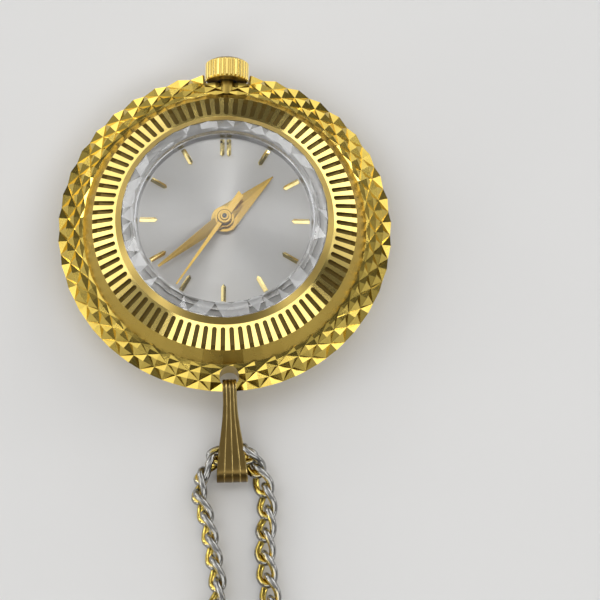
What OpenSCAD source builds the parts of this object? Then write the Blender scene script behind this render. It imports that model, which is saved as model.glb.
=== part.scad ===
// Pendant watch with a faceted flange and a fluted bezel, on an endless curb chain.
// The watch lies on its back. +Z is the dial side and +Y points to twelve o'clock.
// The origin is the middle of the case back, on the surface that the watch lies on.
// All sizes are in millimetres.

/* [Case] */
// Radial width of the faceted flange
flange_w = 2.25; // [2:0.05:3.5]
// Pyramid columns round the flange
facet_count = 42; // [36:2:48]
// Height of the pyramids at the rim
facet_h = 0.46; // [0.2:0.02:0.5]
// Height of the flange rim above the table
rim_z = 3.2; // [3.1:0.1:3.4]
// Height at which the plain band leaves the flange
shoulder_z = 4.3; // [4.2:0.1:4.6]
// Radial spread of the plain band from its top to its foot
band_flare = 0.85; // [0.6:0.05:1.2]
// Height of the plain band
band_h = 1.55; // [1.4:0.05:2]
// Wall of the case at the top of the band
case_wall = 1.5; // [1.4:0.05:1.8]
// Height of the seat of the case back
back_seat_z = 1.15; // [1:0.05:1.3]
// Width of the seat of the case back
back_lap = 0.9; // [0.7:0.05:1.1]
// Radial run of the slope round the flat that the watch lies on
back_slope = 2.3; // [2:0.1:2.6]
// Sheet thickness of the case back
back_t = 0.45; // [0.35:0.05:0.5]

/* [Bezel and crystal] */
// Flutes round the bezel
flute_count = 84; // [72:4:96]
// Radial length of the fluted slope
flute_run = 2.1; // [1.9:0.05:2.3]
// Fall of the fluted slope
flute_drop = 1.05; // [0.8:0.05:1.3]
// Width of one flute
flute_w = 0.42; // [0.3:0.02:0.5]
// Depth of one flute at the outer edge of the bezel
flute_depth = 0.16; // [0.1:0.02:0.3]
// Angle by which a flute gets deeper towards its inner end
flute_dive = 7; // [4:1:9]
// Radial width of the inner lip of the bezel
lip_w = 0.5; // [0.4:0.05:0.6]
// Height of the inner lip of the bezel
lip_h = 0.55; // [0.4:0.05:0.7]
// Facets round the edge of the crystal
crystal_facets = 36; // [32:4:48]
// Wall of the crystal at its foot
crystal_wall = 1.25; // [1.1:0.05:1.4]
// Rise of the faceted edge of the crystal
crystal_edge_h = 0.95; // [0.9:0.05:1.2]
// Rise of the dome above the faceted edge
crystal_dome_h = 1.1; // [0.9:0.05:1.4]
// Thickness of the dome
crystal_t = 0.75; // [0.5:0.05:0.8]

/* [Dial and hands] */
// Room between main plate and dial
motion_h = 1.6; // [1.5:0.05:1.7]
// Thickness of the dial
dial_t = 0.3; // [0.25:0.05:0.4]
// Room between the hour markers and the crystal
marker_gap = 0.5; // [0.4:0.05:1]
// Length of an hour marker
marker_l = 1.6; // [1.2:0.05:1.65]
// Width of an hour marker
marker_w = 0.42; // [0.3:0.02:0.5]
// Room between the tip of the hour hand and the inner ends of the markers
hour_short = 0.1; // [0:0.05:0.8]
// Room between the tip of the minute hand and the outer ends of the markers
minute_short = 0.15; // [0:0.05:0.8]
// Reach of the seconds hand past the outer ends of the markers
second_past = 0.05; // [-0.5:0.05:0.05]
// Angle of the hour hand, clockwise from twelve
hour_angle = 46.5; // [0:0.5:360]
// Angle of the minute hand, clockwise from twelve
minute_angle = 232; // [0:0.5:360]
// Angle of the seconds hand, clockwise from twelve
second_angle = 213.5; // [0:0.5:360]

/* [Movement] */
// Diameter of the main plate
movement_d = 19.7; // [19.5:0.05:22]
// Radial width of the ring that holds the movement in the case
holder_w = 0.55; // [0.45:0.05:0.7]
// Height of the underside of the main plate, where the stem lies
plate_z = 3.6; // [3.55:0.01:3.65]
// Thickness of the main plate
plate_t = 1; // [0.95:0.05:1.1]
// Distance from the centre to the barrel
barrel_dist = 4.86; // [4.8:0.02:4.95]
// Distance from the centre to the third wheel
third_dist = 4.2; // [4.18:0.01:4.25]
// Distance from the centre to the escape wheel
escape_dist = 4.3; // [4.25:0.01:4.35]
// Radius of the escape wheel
escape_r = 1.7; // [1.5:0.05:1.8]
// Distance from the centre to the balance
balance_dist = 6.6; // [6.55:0.05:6.7]
// Radius of the balance
balance_r = 2.45; // [2.2:0.05:2.45]

/* [Crown] */
// Diameter of the crown
crown_d = 3.9; // [3.4:0.1:4.2]
// Length of the crown
crown_l = 2; // [1.6:0.05:2.2]
// Flutes round the crown
crown_flutes = 30; // [24:2:32]
// Depth of the inner face of the crown inside the rim of the flange
crown_sink = 0.85; // [0.5:0.05:0.9]
// Room between the crown and its notch in the flange
crown_gap = 0.12; // [0.1:0.02:0.2]
// Travel of the crown when it is pulled to set the hands
crown_pull = 0.9; // [0.7:0.05:1]

/* [Bail and chain] */
// Diameter of the hole in the flange
hole_d = 1.75; // [1.7:0.05:1.9]
// Wall left between the hole and the rim
hole_land = 0.4; // [0.35:0.05:0.5]
// Turn of the hole from six o'clock, towards five
hole_turn = 2.5; // [0:0.5:5]
// Distance between the two bends of the bail
bail_l = 7.1; // [6.8:0.1:7.4]
// Width of the bail in the hole
bail_neck_w = 1.25; // [1:0.05:1.3]
// Width of the bail at the chain
bail_w = 2.8; // [2.2:0.1:3]
// Length of the even neck of the bail, from the hinge
bail_neck_l = 0.7; // [0.4:0.1:1.5]
// Thickness of the strip that the bail is bent from
bail_t = 0.3; // [0.2:0.02:0.35]
// Wire diameter of the chain
wire_d = 0.5; // [0.4:0.02:0.54]
// Length of a link along the middle of its wire
link_l = 3; // [2.8:0.05:3.1]
// Width of a link along the middle of its wire
link_w = 1.64; // [1.5:0.02:1.7]
// Least distance from link to link
link_pitch = 2.1; // [2.05:0.05:2.2]
// Twist of a link from its middle to its end
link_twist = 50; // [45:1:55]

/* [Hidden] */
$fn = 64;

gold = "#d8a93a";
steel = "#b9bcc0";
brass = "#c9a24d";
nickel = "#c8c6bd";
silver = "#e6e6e3";

// Fits: pressed pieces, turning pieces and loose pieces
fit = 0.01;
running = 0.03;
loose = 0.05;
// Overlap that lets a cut pass a face
past = 1;

// Diameters of the case, from the movement outwards
case_bore_d = movement_d + 2 * holder_w;
band_top_d = case_bore_d + 2 * case_wall;
band_base_d = band_top_d + 2 * band_flare;
flange_d = band_base_d + 2 * flange_w;
back_d = case_bore_d + 2 * back_lap;
back_flat_d = back_d - 2 * back_slope;
crown_y = flange_d / 2 - crown_sink;

// Heights of the case
bezel_seat_z = shoulder_z + band_h;
bezel_top_z = bezel_seat_z + flute_drop + lip_h;
bezel_bore_r = band_top_d / 2 - flute_run - lip_w;
case_bore_r = case_bore_d / 2;

// Markers and hands, from the crystal inwards
marker_out_r = bezel_bore_r - crystal_wall - marker_gap;
marker_in_r = marker_out_r - marker_l;
hour_l = marker_in_r - hour_short;
minute_l = marker_out_r - minute_short;
second_l = marker_out_r + second_past;

// Heights of the movement, from the table up
plate_top = plate_z + plate_t;
stem_z = plate_z;
dial_z = plate_top + motion_h;
dial_top = dial_z + dial_t;
motion_z = plate_top + loose;
wheel_t = 0.14;
centre_z = plate_z - 0.75;
third_z = plate_z - 1.1;
fourth_z = plate_z - 1.75;
ratchet_z = plate_z - 1.55;
ratchet_t = 0.25;
barrel_z = plate_z - 0.45;
barrel_bridge_z = plate_z - 1.15;
barrel_bridge_t = 0.3;
train_bridge_z = plate_z - 2.5;
train_bridge_t = 0.6;
cock_z = plate_z - 2.75;
cock_t = 0.5;
balance_z = plate_z - 1.8;
balance_t = 0.25;
pallet_cock_z = plate_z - 1.48;
pallet_cock_t = 0.28;
pivot_top = plate_z + 0.35;

// Places of the wheels
barrel_turn = 35;
third_turn = 145;
escape_turn = -110;
balance_turn = -50;
barrel_at = polar(barrel_dist, barrel_turn);
third_at = polar(third_dist, third_turn);
escape_at = polar(escape_dist, escape_turn);
balance_at = polar(balance_dist, balance_turn);
lever_turn = heading(escape_at, balance_at);
pallet_at = escape_at + polar(escape_r / cos(30), lever_turn);
crown_wheel_at = [0, 5.4];
minute_wheel_at = [0, 2.4];
ratchet_teeth = 44;
crown_wheel_teeth = 28;
ratchet_module = 2 * norm(barrel_at - crown_wheel_at) / (ratchet_teeth + crown_wheel_teeth);
ratchet_r = ratchet_module * ratchet_teeth / 2;
crown_wheel_r = ratchet_module * crown_wheel_teeth / 2;
motion_module = norm(minute_wheel_at) / 24;
hour_module = norm(minute_wheel_at) / 25;
setting_teeth = 17;
setting_r = motion_module * setting_teeth / 2;
setting_at = minute_wheel_at + [0, motion_module * 18 + setting_r];

// Arbors and tubes
arbor_r = 0.12;
seconds_r = 0.18;
centre_in_r = seconds_r + 0.04;
centre_out_r = 0.42;
cannon_in_r = centre_out_r + fit;
cannon_out_r = 0.62;
hour_in_r = cannon_out_r + 0.04;
hour_out_r = 0.88;
barrel_arbor_r = 0.45;
drum_edge = 0.99;
drum_r = movement_d / 2 - barrel_dist - drum_edge;
hour_z = dial_top + 0.35;
minute_z = hour_z + 0.4;
second_z = minute_z + 0.4;
hand_t = 0.15;

// Keyless work along the stem
stem_r = 0.4;
tube_r = 0.6;
tube_end_y = crown_y + 1.05;
pinion_y = crown_wheel_at[1] + crown_wheel_r - 0.1;
pinion_l = 0.75;
pinion_r = stem_z - (ratchet_z + ratchet_t) - loose;
clutch_l = 1.05;
clutch_r = 0.95;
clutch_y = pinion_y - clutch_l - loose;
groove_edge = 1.3;
groove_y = movement_d / 2 - groove_edge;
groove_w = 0.4;
groove_r = 0.25;
lever_arm = 2;

// Pillars of the bridges, under the main plate
pillar_edge = movement_d / 2 - 0.85;
barrel_pillars = [[2.2, pillar_edge - 0.3], [pillar_edge - 0.1, 0]];
train_pillars = [polar(pillar_edge, 165), polar(pillar_edge, 215)];
cock_pillar = polar(pillar_edge - 0.7, -22);
pallet_pillar = [0.2, -6.6];
pillar_r = 0.6;
ledge = 0.08;
screw_r = 0.28;
screw_head_r = 0.5;
screw_head_h = 0.22;
jewel_r = 0.42;
jewel_t = 0.25;

// Bail: it turns about the wall between the hole and the rim
hole_r_at = flange_d / 2 - hole_land - hole_d / 2;
hinge_r = flange_d / 2 - hole_land / 2;
hinge_z = rim_z - 0.15;
bail_in_r = 0.7;
bail_end_in_r = 0.86;
bail_end_r = bail_end_in_r + bail_t;
bail_tilt = asin((hinge_z - bail_end_r - 0.02) / bail_l);

// Chain: places are counted from the middle of the bail's end bend, on the table
chain_reach = hinge_r + bail_l * cos(bail_tilt);
chain_at = [chain_reach * sin(hole_turn), -chain_reach * cos(hole_turn)];
// Oval ring that passes through the bail
ring_at = [0, 1.15, 1.5];
ring_l = 4.1;
ring_w = 1.6;
// Routes of the two stretches, from the ring to the coil
right_route = [
    [1.35, 1.4, 1.9], [1.85, 1.3, 1.4], [2.4, -0.65, 1.05], [3.2, -2.3, 1], [3.25, -3.5, 0.9],
    [3.1, -5.4, 0.95], [3.05, -8, 0.85], [3.35, -10.4, 0.85], [3.8, -13, 0.9], [4.2, -15.3, 1],
    [5.1, -17.1, 1.1], [6.4, -18.4, 1.2]
];
left_route = [
    [-1.7, 0.55, 1.5], [-1.5, -0.25, 1.15], [-2.5, -0.6, 1.3], [-3.1, -1.65, 1.15], [-2.2, -4.75, 1.15],
    [-1.6, -7.9, 1.1], [-1.15, -10.4, 1.1], [-1.2, -12.6, 1.25], [-1.9, -15, 1.8], [-3.5, -17, 2.5],
    [-5.6, -18.9, 3.1], [-8.4, -21.1, 3.4]
];
// Roll of the first link of a stretch, the change from link to link, and the links that change
right_roll = [58, -10, 5];
left_roll = [138, -13, 5];
route_steps = 8;
wire_sides = 6;
wire_rings = 18;
// Coil of the chain that is put away, in two layers
coil_at = [1.5, -33.6];
coil_start = 63;
coil_d = 1.7;
coil_step = coil_d + 0.52;
coil_in_r = 4.6;
coil_turns = 4.9;
coil_z = 1.2;
coil_rise = coil_d + 0.5;
coil_rings = 24;
coil_sides = 6;
tie_w = 2;
tie_t = 0.25;

// Helpers

function polar(r, a) = [r * cos(a), r * sin(a)];
function heading(a, b) = atan2(b[1] - a[1], b[0] - a[0]);
function unit(v) = v / norm(v);

// Points of a wheel with plain tapered teeth
function wheel_points(teeth, m) = let (
    r = m * teeth / 2, tip = r + 0.9 * m, root = r - 1.2 * m, step = 360 / teeth
) [for (i = [0 : teeth - 1]) each [
    polar(root, (i - 0.3) * step), polar(tip, (i - 0.11) * step),
    polar(tip, (i + 0.11) * step), polar(root, (i + 0.3) * step)
]];

// Points of a flat spiral ribbon from radius r0 to r1
function spiral_points(r0, r1, turns, t) = let (
    n = ceil(turns * 24),
    line = [for (i = [0 : n]) [r0 + (r1 - r0) * i / n, 360 * turns * i / n]]
) concat(
    [for (p = line) polar(p[0], p[1])],
    [for (i = [n : -1 : 0]) polar(line[i][0] + t, line[i][1])]
);

module at(p, z) {
    translate([p[0], p[1], z]) children();
}

module disc(r, h) {
    cylinder(r = r, h = h);
}

module ring(r_out, r_in, h) {
    rotate_extrude() translate([r_in, 0]) square([r_out - r_in, h]);
}

// Wheel with a tooth towards angle a, and wheel with a gap towards angle a
module toothed(teeth, m, h, a) {
    rotate(a) linear_extrude(h) polygon(wheel_points(teeth, m));
}

module meshing(teeth, m, h, a) {
    toothed(teeth, m, h, a + 180 / teeth);
}

// A round piece along the stem, from y0 to y1
module along_stem(r, y0, y1) {
    translate([0, y0, stem_z]) rotate([-90, 0, 0]) cylinder(r = r, h = y1 - y0);
}

// Closed tube through rings of points
module skin(rings) {
    n = len(rings[0]);
    last = len(rings) - 1;
    points = [for (r = rings) each r];
    sides = [for (i = [0 : last - 1], j = [0 : n - 1]) each let (
        a = i * n + j, b = i * n + (j + 1) % n, c = b + n, d = a + n
    ) [[a, c, b], [a, d, c]]];
    first_cap = [for (j = [1 : n - 2]) [0, j, j + 1]];
    last_cap = [for (j = [1 : n - 2]) [last * n, last * n + j + 1, last * n + j]];
    polyhedron(points, concat(sides, first_cap, last_cap));
}

// Tube whose rings close on themselves, as in a link
module loop_skin(rings) {
    n = len(rings[0]);
    m = len(rings);
    points = [for (r = rings) each r];
    polyhedron(points, [for (i = [0 : m - 1], j = [0 : n - 1]) each let (
        k = (i + 1) % m, a = i * n + j, b = i * n + (j + 1) % n, c = k * n + (j + 1) % n, d = k * n + j
    ) [[a, c, b], [a, d, c]]]);
}

// Case

module case_back() {
    flat_r = back_flat_d / 2;
    r = back_d / 2;
    lip_r = case_bore_r - loose;
    color(steel) rotate_extrude() polygon([
        [0, 0], [flat_r, 0], [r, back_seat_z - back_t], [r, back_seat_z],
        [lip_r, back_seat_z], [lip_r, back_seat_z + 0.5], [lip_r - back_t, back_seat_z + 0.5],
        [lip_r - back_t, back_seat_z - 0.1], [flat_r, back_t], [0, back_t]
    ]);
}

// Outward lean of a pyramid's peak, as a share of its lift
facet_lean = 0.25;

// Rows of the faceted flange, from the rim's underside up to the band: radius, height and relief
function flange_rows() = let (
    rim_r = flange_d / 2, edge_r = rim_r - facet_lean * facet_h / 2, foot_r = band_base_d / 2, rows = 4,
    spread = function (k) pow(k / rows, 1.35),
    fall = function (k) pow(k / rows, 1.7)
) concat(
    [[case_bore_r + 0.6, back_seat_z + 0.2, 0, 0], [rim_r - 0.5, rim_z - 0.5, 0, 0]],
    [for (k = [rows : -1 : 0]) [
        edge_r - (edge_r - foot_r) * (1 - spread(k)),
        shoulder_z - (shoulder_z - rim_z) * fall(k),
        facet_h / 2 * pow(k / rows, 0.45), k
    ]],
    [[band_top_d / 2, bezel_seat_z, 0, 0], [case_bore_r + 0.6, bezel_seat_z, 0, 0]]
);

// Ring of flat facets: pyramids on the flange and flats on the band above it
module facet_ring() {
    rows = flange_rows();
    m = len(rows);
    n = 2 * facet_count;
    step = 360 / n;
    flat = cos(step);
    is_band = function (i) i == m - 2 || i == m - 3;
    is_peak = function (i, j) (rows[i][3] + j) % 2 == 0;
    place = function (i, j) let (
        row = rows[i], lift = is_peak(i, j) ? row[2] : -row[2],
        r = (row[0] + lift * facet_lean) * (is_band(i) && j % 2 == 1 ? flat : 1)
    ) [r * cos(90 + j * step), r * sin(90 + j * step), row[1] + lift];
    points = [for (i = [0 : m - 1], j = [0 : n - 1]) place(i, j)];
    faces = [for (i = [0 : m - 1], j = [0 : n - 1]) each let (
        k = (i + 1) % m, a = i * n + j, b = i * n + (j + 1) % n, c = k * n + (j + 1) % n, d = k * n + j
    ) is_peak(i, j) ? [[a, b, d], [b, c, d]] : [[a, b, c], [a, c, d]]];
    polyhedron(points, [for (f = faces) [f[2], f[1], f[0]]]);
}

module case_body() {
    core_r = case_bore_r + 1;
    color(gold) difference() {
        union() {
            facet_ring();
            translate([0, 0, back_seat_z]) ring(core_r, case_bore_r, bezel_seat_z - back_seat_z - loose);
        }
        rotate(hole_turn) translate([0, -hole_r_at, 0]) cylinder(d = hole_d, h = shoulder_z + past);
        along_stem(crown_d / 2 + crown_gap, crown_y - crown_gap, flange_d);
        along_stem(tube_r + fit, case_bore_r - past, flange_d);
    }
}

module bezel() {
    top_r = band_top_d / 2;
    slope = atan(flute_drop / flute_run);
    run = norm([flute_run, flute_drop]);
    skirt_r = case_bore_r - loose;
    color(gold) difference() {
        rotate_extrude() polygon([
            [top_r, bezel_seat_z], [top_r - flute_run, bezel_seat_z + flute_drop], [bezel_bore_r, bezel_top_z],
            [bezel_bore_r, bezel_seat_z - 0.4], [skirt_r, bezel_seat_z - 0.4], [skirt_r, bezel_seat_z]
        ]);
        for (i = [0 : flute_count - 1]) rotate(i * 360 / flute_count)
            translate([top_r, 0, bezel_seat_z - flute_depth]) rotate([0, slope - flute_dive, 0])
                linear_extrude(past) {
                    translate([-run + flute_w, -flute_w / 2]) square([run, flute_w]);
                    translate([-run + flute_w, 0]) circle(d = flute_w, $fn = 24);
                }
    }
}

module crystal() {
    r = bezel_bore_r - fit;
    foot_z = dial_top + loose;
    edge_z = bezel_top_z + crystal_edge_h;
    edge_r = r - crystal_edge_h;
    in_r = r - crystal_wall;
    dome_r = (edge_r * edge_r + crystal_dome_h * crystal_dome_h) / (2 * crystal_dome_h);
    in_edge_z = edge_z - 0.55;
    in_h = edge_z + crystal_dome_h - crystal_t - in_edge_z;
    in_dome_r = (in_r * in_r + in_h * in_h) / (2 * in_h);
    flat = cos(180 / crystal_facets);
    color([0.92, 0.95, 0.97, 0.35]) difference() {
        union() {
            translate([0, 0, foot_z]) disc(r * flat, bezel_top_z - foot_z + loose);
            hull() {
                translate([0, 0, bezel_top_z]) linear_extrude(0.01) circle(r, $fn = crystal_facets);
                translate([0, 0, edge_z - 0.01]) rotate(180 / crystal_facets)
                    linear_extrude(0.01) circle(edge_r, $fn = crystal_facets);
            }
            intersection() {
                translate([0, 0, edge_z + crystal_dome_h - dome_r]) sphere(dome_r);
                translate([0, 0, edge_z - 0.3]) disc(edge_r * flat - 0.05, crystal_dome_h + past);
            }
        }
        intersection() {
            translate([0, 0, in_edge_z + in_h - in_dome_r]) sphere(in_dome_r);
            translate([0, 0, foot_z - past]) disc(in_r, crystal_dome_h * 4);
        }
    }
}

// Metal ring that spreads the crystal in the bezel
module crystal_ring() {
    r = bezel_bore_r - crystal_wall - 0.03;
    color(silver) translate([0, 0, dial_top + 0.02]) rotate_extrude()
        polygon([[r, 0], [r, 0.45], [r - 0.1, 0.45], [r - 0.3, 0]]);
}

module movement_ring() {
    z = plate_z - 0.3;
    color(brass) difference() {
        translate([0, 0, z]) ring(case_bore_r - 0.02, movement_d / 2 + 0.02, bezel_seat_z - 0.45 - z);
        along_stem(stem_r + 0.15, 0, flange_d);
    }
}

// Crown and keyless work

module crown_tube() {
    color(brass) difference() {
        along_stem(tube_r, case_bore_r + 0.1, tube_end_y);
        along_stem(stem_r + loose, 0, flange_d);
    }
}

module crown() {
    r = crown_d / 2;
    recess_r = tube_r + 0.3;
    bevel = 0.18;
    color(gold) difference() {
        intersection() {
            translate([0, crown_y, stem_z]) rotate([-90, 0, 0]) linear_extrude(crown_l) difference() {
                circle(r);
                for (i = [0 : crown_flutes - 1]) rotate(i * 360 / crown_flutes) translate([r, 0])
                    circle(r * 180 / crown_flutes / 90, $fn = 24);
            }
            translate([0, crown_y, stem_z]) rotate([-90, 0, 0]) rotate_extrude() polygon([
                [0, 0], [r - bevel, 0], [r, bevel], [r, crown_l - 2 * bevel], [r - bevel, crown_l - bevel],
                [r - 3 * bevel, crown_l], [0, crown_l]
            ]);
        }
        along_stem(recess_r, crown_y - past, tube_end_y + 0.1);
        along_stem(stem_r + fit, crown_y, crown_y + crown_l - 0.25);
    }
}

module crown_gasket() {
    color("dimgray") difference() {
        along_stem(tube_r + 0.3 - fit, crown_y + 0.08, crown_y + 0.34);
        along_stem(tube_r + 0.02, 0, flange_d);
    }
}

module stem() {
    color(steel) {
        along_stem(stem_r, clutch_y - 0.4, groove_y - groove_w / 2);
        along_stem(groove_r, groove_y - groove_w, groove_y + groove_w);
        along_stem(stem_r, groove_y + groove_w / 2, crown_y + crown_l - 0.3);
    }
}

// A ring of face teeth on a collar along the stem
module stem_collar(r, y, l, teeth, tooth_end) {
    difference() {
        union() {
            along_stem(r - 0.18, y, y + l);
            translate([0, tooth_end ? y + 0.2 : y, stem_z]) rotate([-90, 0, 0]) linear_extrude(l - 0.2)
                polygon([for (i = [0 : 2 * teeth - 1]) each [
                    polar(i % 2 == 0 ? r : r - 0.2, (i - 0.3) * 180 / teeth),
                    polar(i % 2 == 0 ? r : r - 0.2, (i + 0.3) * 180 / teeth)
                ]]);
        }
        along_stem(stem_r + running, 0, flange_d);
    }
}

module winding_pinion() {
    color(steel) stem_collar(pinion_r, pinion_y, pinion_l, 14, true);
}

module clutch_wheel() {
    color(steel) difference() {
        stem_collar(clutch_r, clutch_y, clutch_l, 12, false);
        translate([0, clutch_y + clutch_l * 0.45, stem_z]) rotate([-90, 0, 0])
            ring(clutch_r + past, clutch_r - 0.35, 0.3);
    }
}

module setting_lever() {
    pin_r = groove_w / 2 - loose;
    color(steel) {
        translate([0, 0, motion_z]) linear_extrude(0.2) difference() {
            union() {
                translate([lever_arm, groove_y]) circle(0.6);
                translate([0, groove_y - 0.25]) square([lever_arm, 0.5]);
                translate([0, groove_y]) circle(0.3);
            }
            translate([lever_arm, groove_y]) circle(0.25 + running);
        }
        translate([0, groove_y, stem_z + groove_r + loose])
            disc(pin_r, motion_z + 0.1 - stem_z - groove_r - loose);
    }
}

module setting_wheel() {
    color(steel) at(setting_at, motion_z) difference() {
        meshing(setting_teeth, motion_module, 0.2, -90);
        translate([0, 0, -past]) disc(0.2 + running, 3);
    }
}

// Dial and hands

module dial() {
    r = bezel_bore_r - 0.1;
    flat_r = marker_in_r + marker_l + 0.05;
    color(silver) rotate_extrude() polygon([
        [hour_out_r + 0.12, dial_z], [r, dial_z], [r, dial_top - 0.15], [flat_r, dial_top],
        [hour_out_r + 0.12, dial_top]
    ]);
}

// Bar with a ridge along its top and a pointed inner end
module marker(w) {
    h = 0.1;
    intersection() {
        translate([0, marker_in_r, 0]) rotate([90, 0, 180]) linear_extrude(marker_l)
            polygon([[-w / 2, 0], [w / 2, 0], [w / 2, h], [0, h + w / 3], [-w / 2, h]]);
        linear_extrude(past) polygon([
            [0, marker_in_r], [w / 2, marker_in_r + w / 2], [w / 2, marker_in_r + marker_l],
            [-w / 2, marker_in_r + marker_l], [-w / 2, marker_in_r + w / 2]
        ]);
    }
}

module hour_markers() {
    double_gap = 0.29;
    color(gold) translate([0, 0, dial_top]) {
        for (hour = [1 : 11]) rotate(-30 * hour) marker(marker_w);
        for (side = [-1, 1]) translate([side * double_gap, 0, 0]) marker(marker_w * 0.9);
    }
}

// Blade with a ridge, from its tail over the hub to its tip
module ridged_blade(l, tail, hub_w, tip_w, ridge_h) {
    edge = [[0, -tail], [hub_w / 2, -0.15], [tip_w / 2, l], [-tip_w / 2, l], [-hub_w / 2, -0.15]];
    low = [for (p = edge) [p[0], p[1], 0]];
    mid = [for (p = edge) [p[0], p[1], hand_t * 0.4]];
    top = [[0, -0.15, hand_t * 0.4 + ridge_h], [0, l - tip_w / 2, hand_t * 0.4 + 0.01]];
    polyhedron(concat(low, mid, top), [
        [0, 1, 2, 3, 4],
        for (i = [0 : 4]) [i, i + 5, (i + 1) % 5 + 5, (i + 1) % 5],
        [5, 10, 6], [6, 10, 11, 7], [7, 11, 8], [8, 11, 10, 9], [9, 10, 5]
    ]);
}

module hour_hand() {
    color(gold) translate([0, 0, hour_z]) rotate(-hour_angle) difference() {
        union() {
            ridged_blade(hour_l, 1.6, 2.5, 0.1, 0.12);
            disc(hour_out_r + 0.3, hand_t + 0.05);
        }
        translate([0, 0, -past]) disc(hour_out_r + fit, 3);
    }
}

module minute_hand() {
    color(gold) translate([0, 0, minute_z]) rotate(-minute_angle) difference() {
        union() {
            ridged_blade(minute_l, 2.1, 1.3, 0.22, 0.1);
            disc(cannon_out_r + 0.22, hand_t + 0.02);
        }
        translate([0, 0, -past]) disc(cannon_out_r + fit, 3);
    }
}

module second_hand() {
    tail = 2.7;
    tail_w = 0.62;
    color(gold) translate([0, 0, second_z]) rotate(-second_angle) difference() {
        union() {
            linear_extrude(0.08) polygon([
                [0.07, second_l], [0.2, 0], [tail_w / 2, -0.3], [tail_w / 2, -tail], [-tail_w / 2, -tail + 0.2],
                [-tail_w / 2, -0.3], [-0.2, 0], [-0.07, second_l]
            ]);
            disc(0.65, 0.2);
            disc(0.36, 0.34);
        }
        translate([0, 0, -past]) disc(seconds_r + fit, 3);
    }
}

// Motion work

module hour_wheel() {
    z = motion_z + 0.26;
    color(brass) difference() {
        union() {
            translate([0, 0, z]) toothed(40, hour_module, 0.15, 90);
            translate([0, 0, z]) disc(hour_out_r, hour_z + hand_t - z);
        }
        disc(hour_in_r, second_z);
    }
}

module cannon_pinion() {
    color(steel) difference() {
        union() {
            translate([0, 0, motion_z]) meshing(12, motion_module, 0.2, 90);
            translate([0, 0, motion_z + 0.15]) disc(cannon_out_r - 0.05, 0.1);
            translate([0, 0, motion_z + 0.2]) disc(cannon_out_r, minute_z + hand_t - motion_z - 0.2);
        }
        disc(cannon_in_r, second_z);
    }
}

module minute_wheel() {
    color(brass) at(minute_wheel_at, motion_z) difference() {
        union() {
            toothed(36, motion_module, 0.2, 90);
            translate([0, 0, 0.15]) meshing(10, hour_module, 0.3, -90);
        }
        translate([0, 0, -past]) disc(0.22 + running, 3);
    }
}

// Plate and bridges

module main_plate() {
    r = movement_d / 2;
    seat_r = r - 0.7;
    slot_w = 2 * pinion_r + 0.3;
    color(nickel) {
        difference() {
            union() {
                translate([0, 0, plate_z]) disc(r, plate_t);
                translate([0, 0, plate_top - 0.1]) ring(seat_r, seat_r - 0.6, motion_h + 0.1);
            }
            at(barrel_at, plate_z - past) disc(drum_r + 0.15, past + 0.8);
            disc(centre_out_r + 0.04, dial_z);
            for (p = [third_at, escape_at, pallet_at, balance_at]) at(p, plate_z - past)
                disc(arbor_r + running, pivot_top + loose - plate_z + past);
            at(barrel_at, plate_z) disc(0.2 + running, dial_z);
            for (p = concat(barrel_pillars, train_pillars, [cock_pillar, pallet_pillar])) at(p, plate_z - past)
                disc(screw_r + 0.02, past + 0.65);
            translate([-slot_w / 2, clutch_y - 0.1, plate_z - past])
                cube([slot_w, pinion_y + pinion_l + 0.2 - clutch_y, 4]);
            along_stem(stem_r + loose, clutch_y - 0.7, flange_d);
            translate([-0.5, groove_y - 0.35, stem_z]) cube([1, crown_pull + 0.7, 2]);
            translate([-3.2, groove_y - 1.1, plate_top]) cube([6.4, 3, 2]);
        }
        at(minute_wheel_at, plate_top - 0.1) disc(0.22, 0.4);
        at(setting_at, plate_top - 0.1) disc(0.2, 0.4);
        at([lever_arm, groove_y], plate_top - 0.1) disc(0.25, 0.4);
    }
}

// Pillars that carry a bridge on the plate
module pillars(places, z) {
    for (p = places) at(p, z) disc(pillar_r, plate_z - z);
}

module screw_holes(places) {
    for (p = places) at(p, 0) disc(screw_r + 0.02, plate_top);
}

module barrel_bridge() {
    slot_w = 2 * pinion_r + 0.3;
    z = barrel_bridge_z;
    color(nickel) difference() {
        union() {
            translate([0, 0, z]) linear_extrude(barrel_bridge_t) hull() {
                translate(barrel_at) circle(1, $fn = 32);
                translate(crown_wheel_at) circle(0.6, $fn = 32);
                translate(click_at()) circle(0.5, $fn = 32);
                for (p = barrel_pillars) translate(p) circle(pillar_r + ledge, $fn = 32);
            }
            pillars(barrel_pillars, z + 0.1);
            at(crown_wheel_at, ratchet_z - 0.05) disc(0.4, 0.6);
            at(click_at(), ratchet_z - 0.05) disc(0.2, 0.6);
        }
        translate([-slot_w / 2, clutch_y - 0.1, z - past]) cube([slot_w, 5, 3]);
        at(barrel_at, 0) disc(barrel_arbor_r + running, plate_top);
        screw_holes(barrel_pillars);
    }
}

module train_bridge() {
    z = train_bridge_z;
    color(nickel) difference() {
        union() {
            translate([0, 0, z]) linear_extrude(train_bridge_t) {
                hull() {
                    translate(third_at) circle(0.8, $fn = 32);
                    translate(escape_at) circle(0.8, $fn = 32);
                    for (p = train_pillars) translate(p) circle(pillar_r + ledge, $fn = 32);
                }
                hull() {
                    circle(0.8, $fn = 32);
                    translate(third_at) circle(0.8, $fn = 32);
                    translate(escape_at) circle(0.8, $fn = 32);
                }
            }
            pillars(train_pillars, z + 0.1);
        }
        for (p = train_jewels()) at(p, z - past) disc(jewel_r + fit, 4);
        screw_holes(train_pillars);
    }
}

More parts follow.
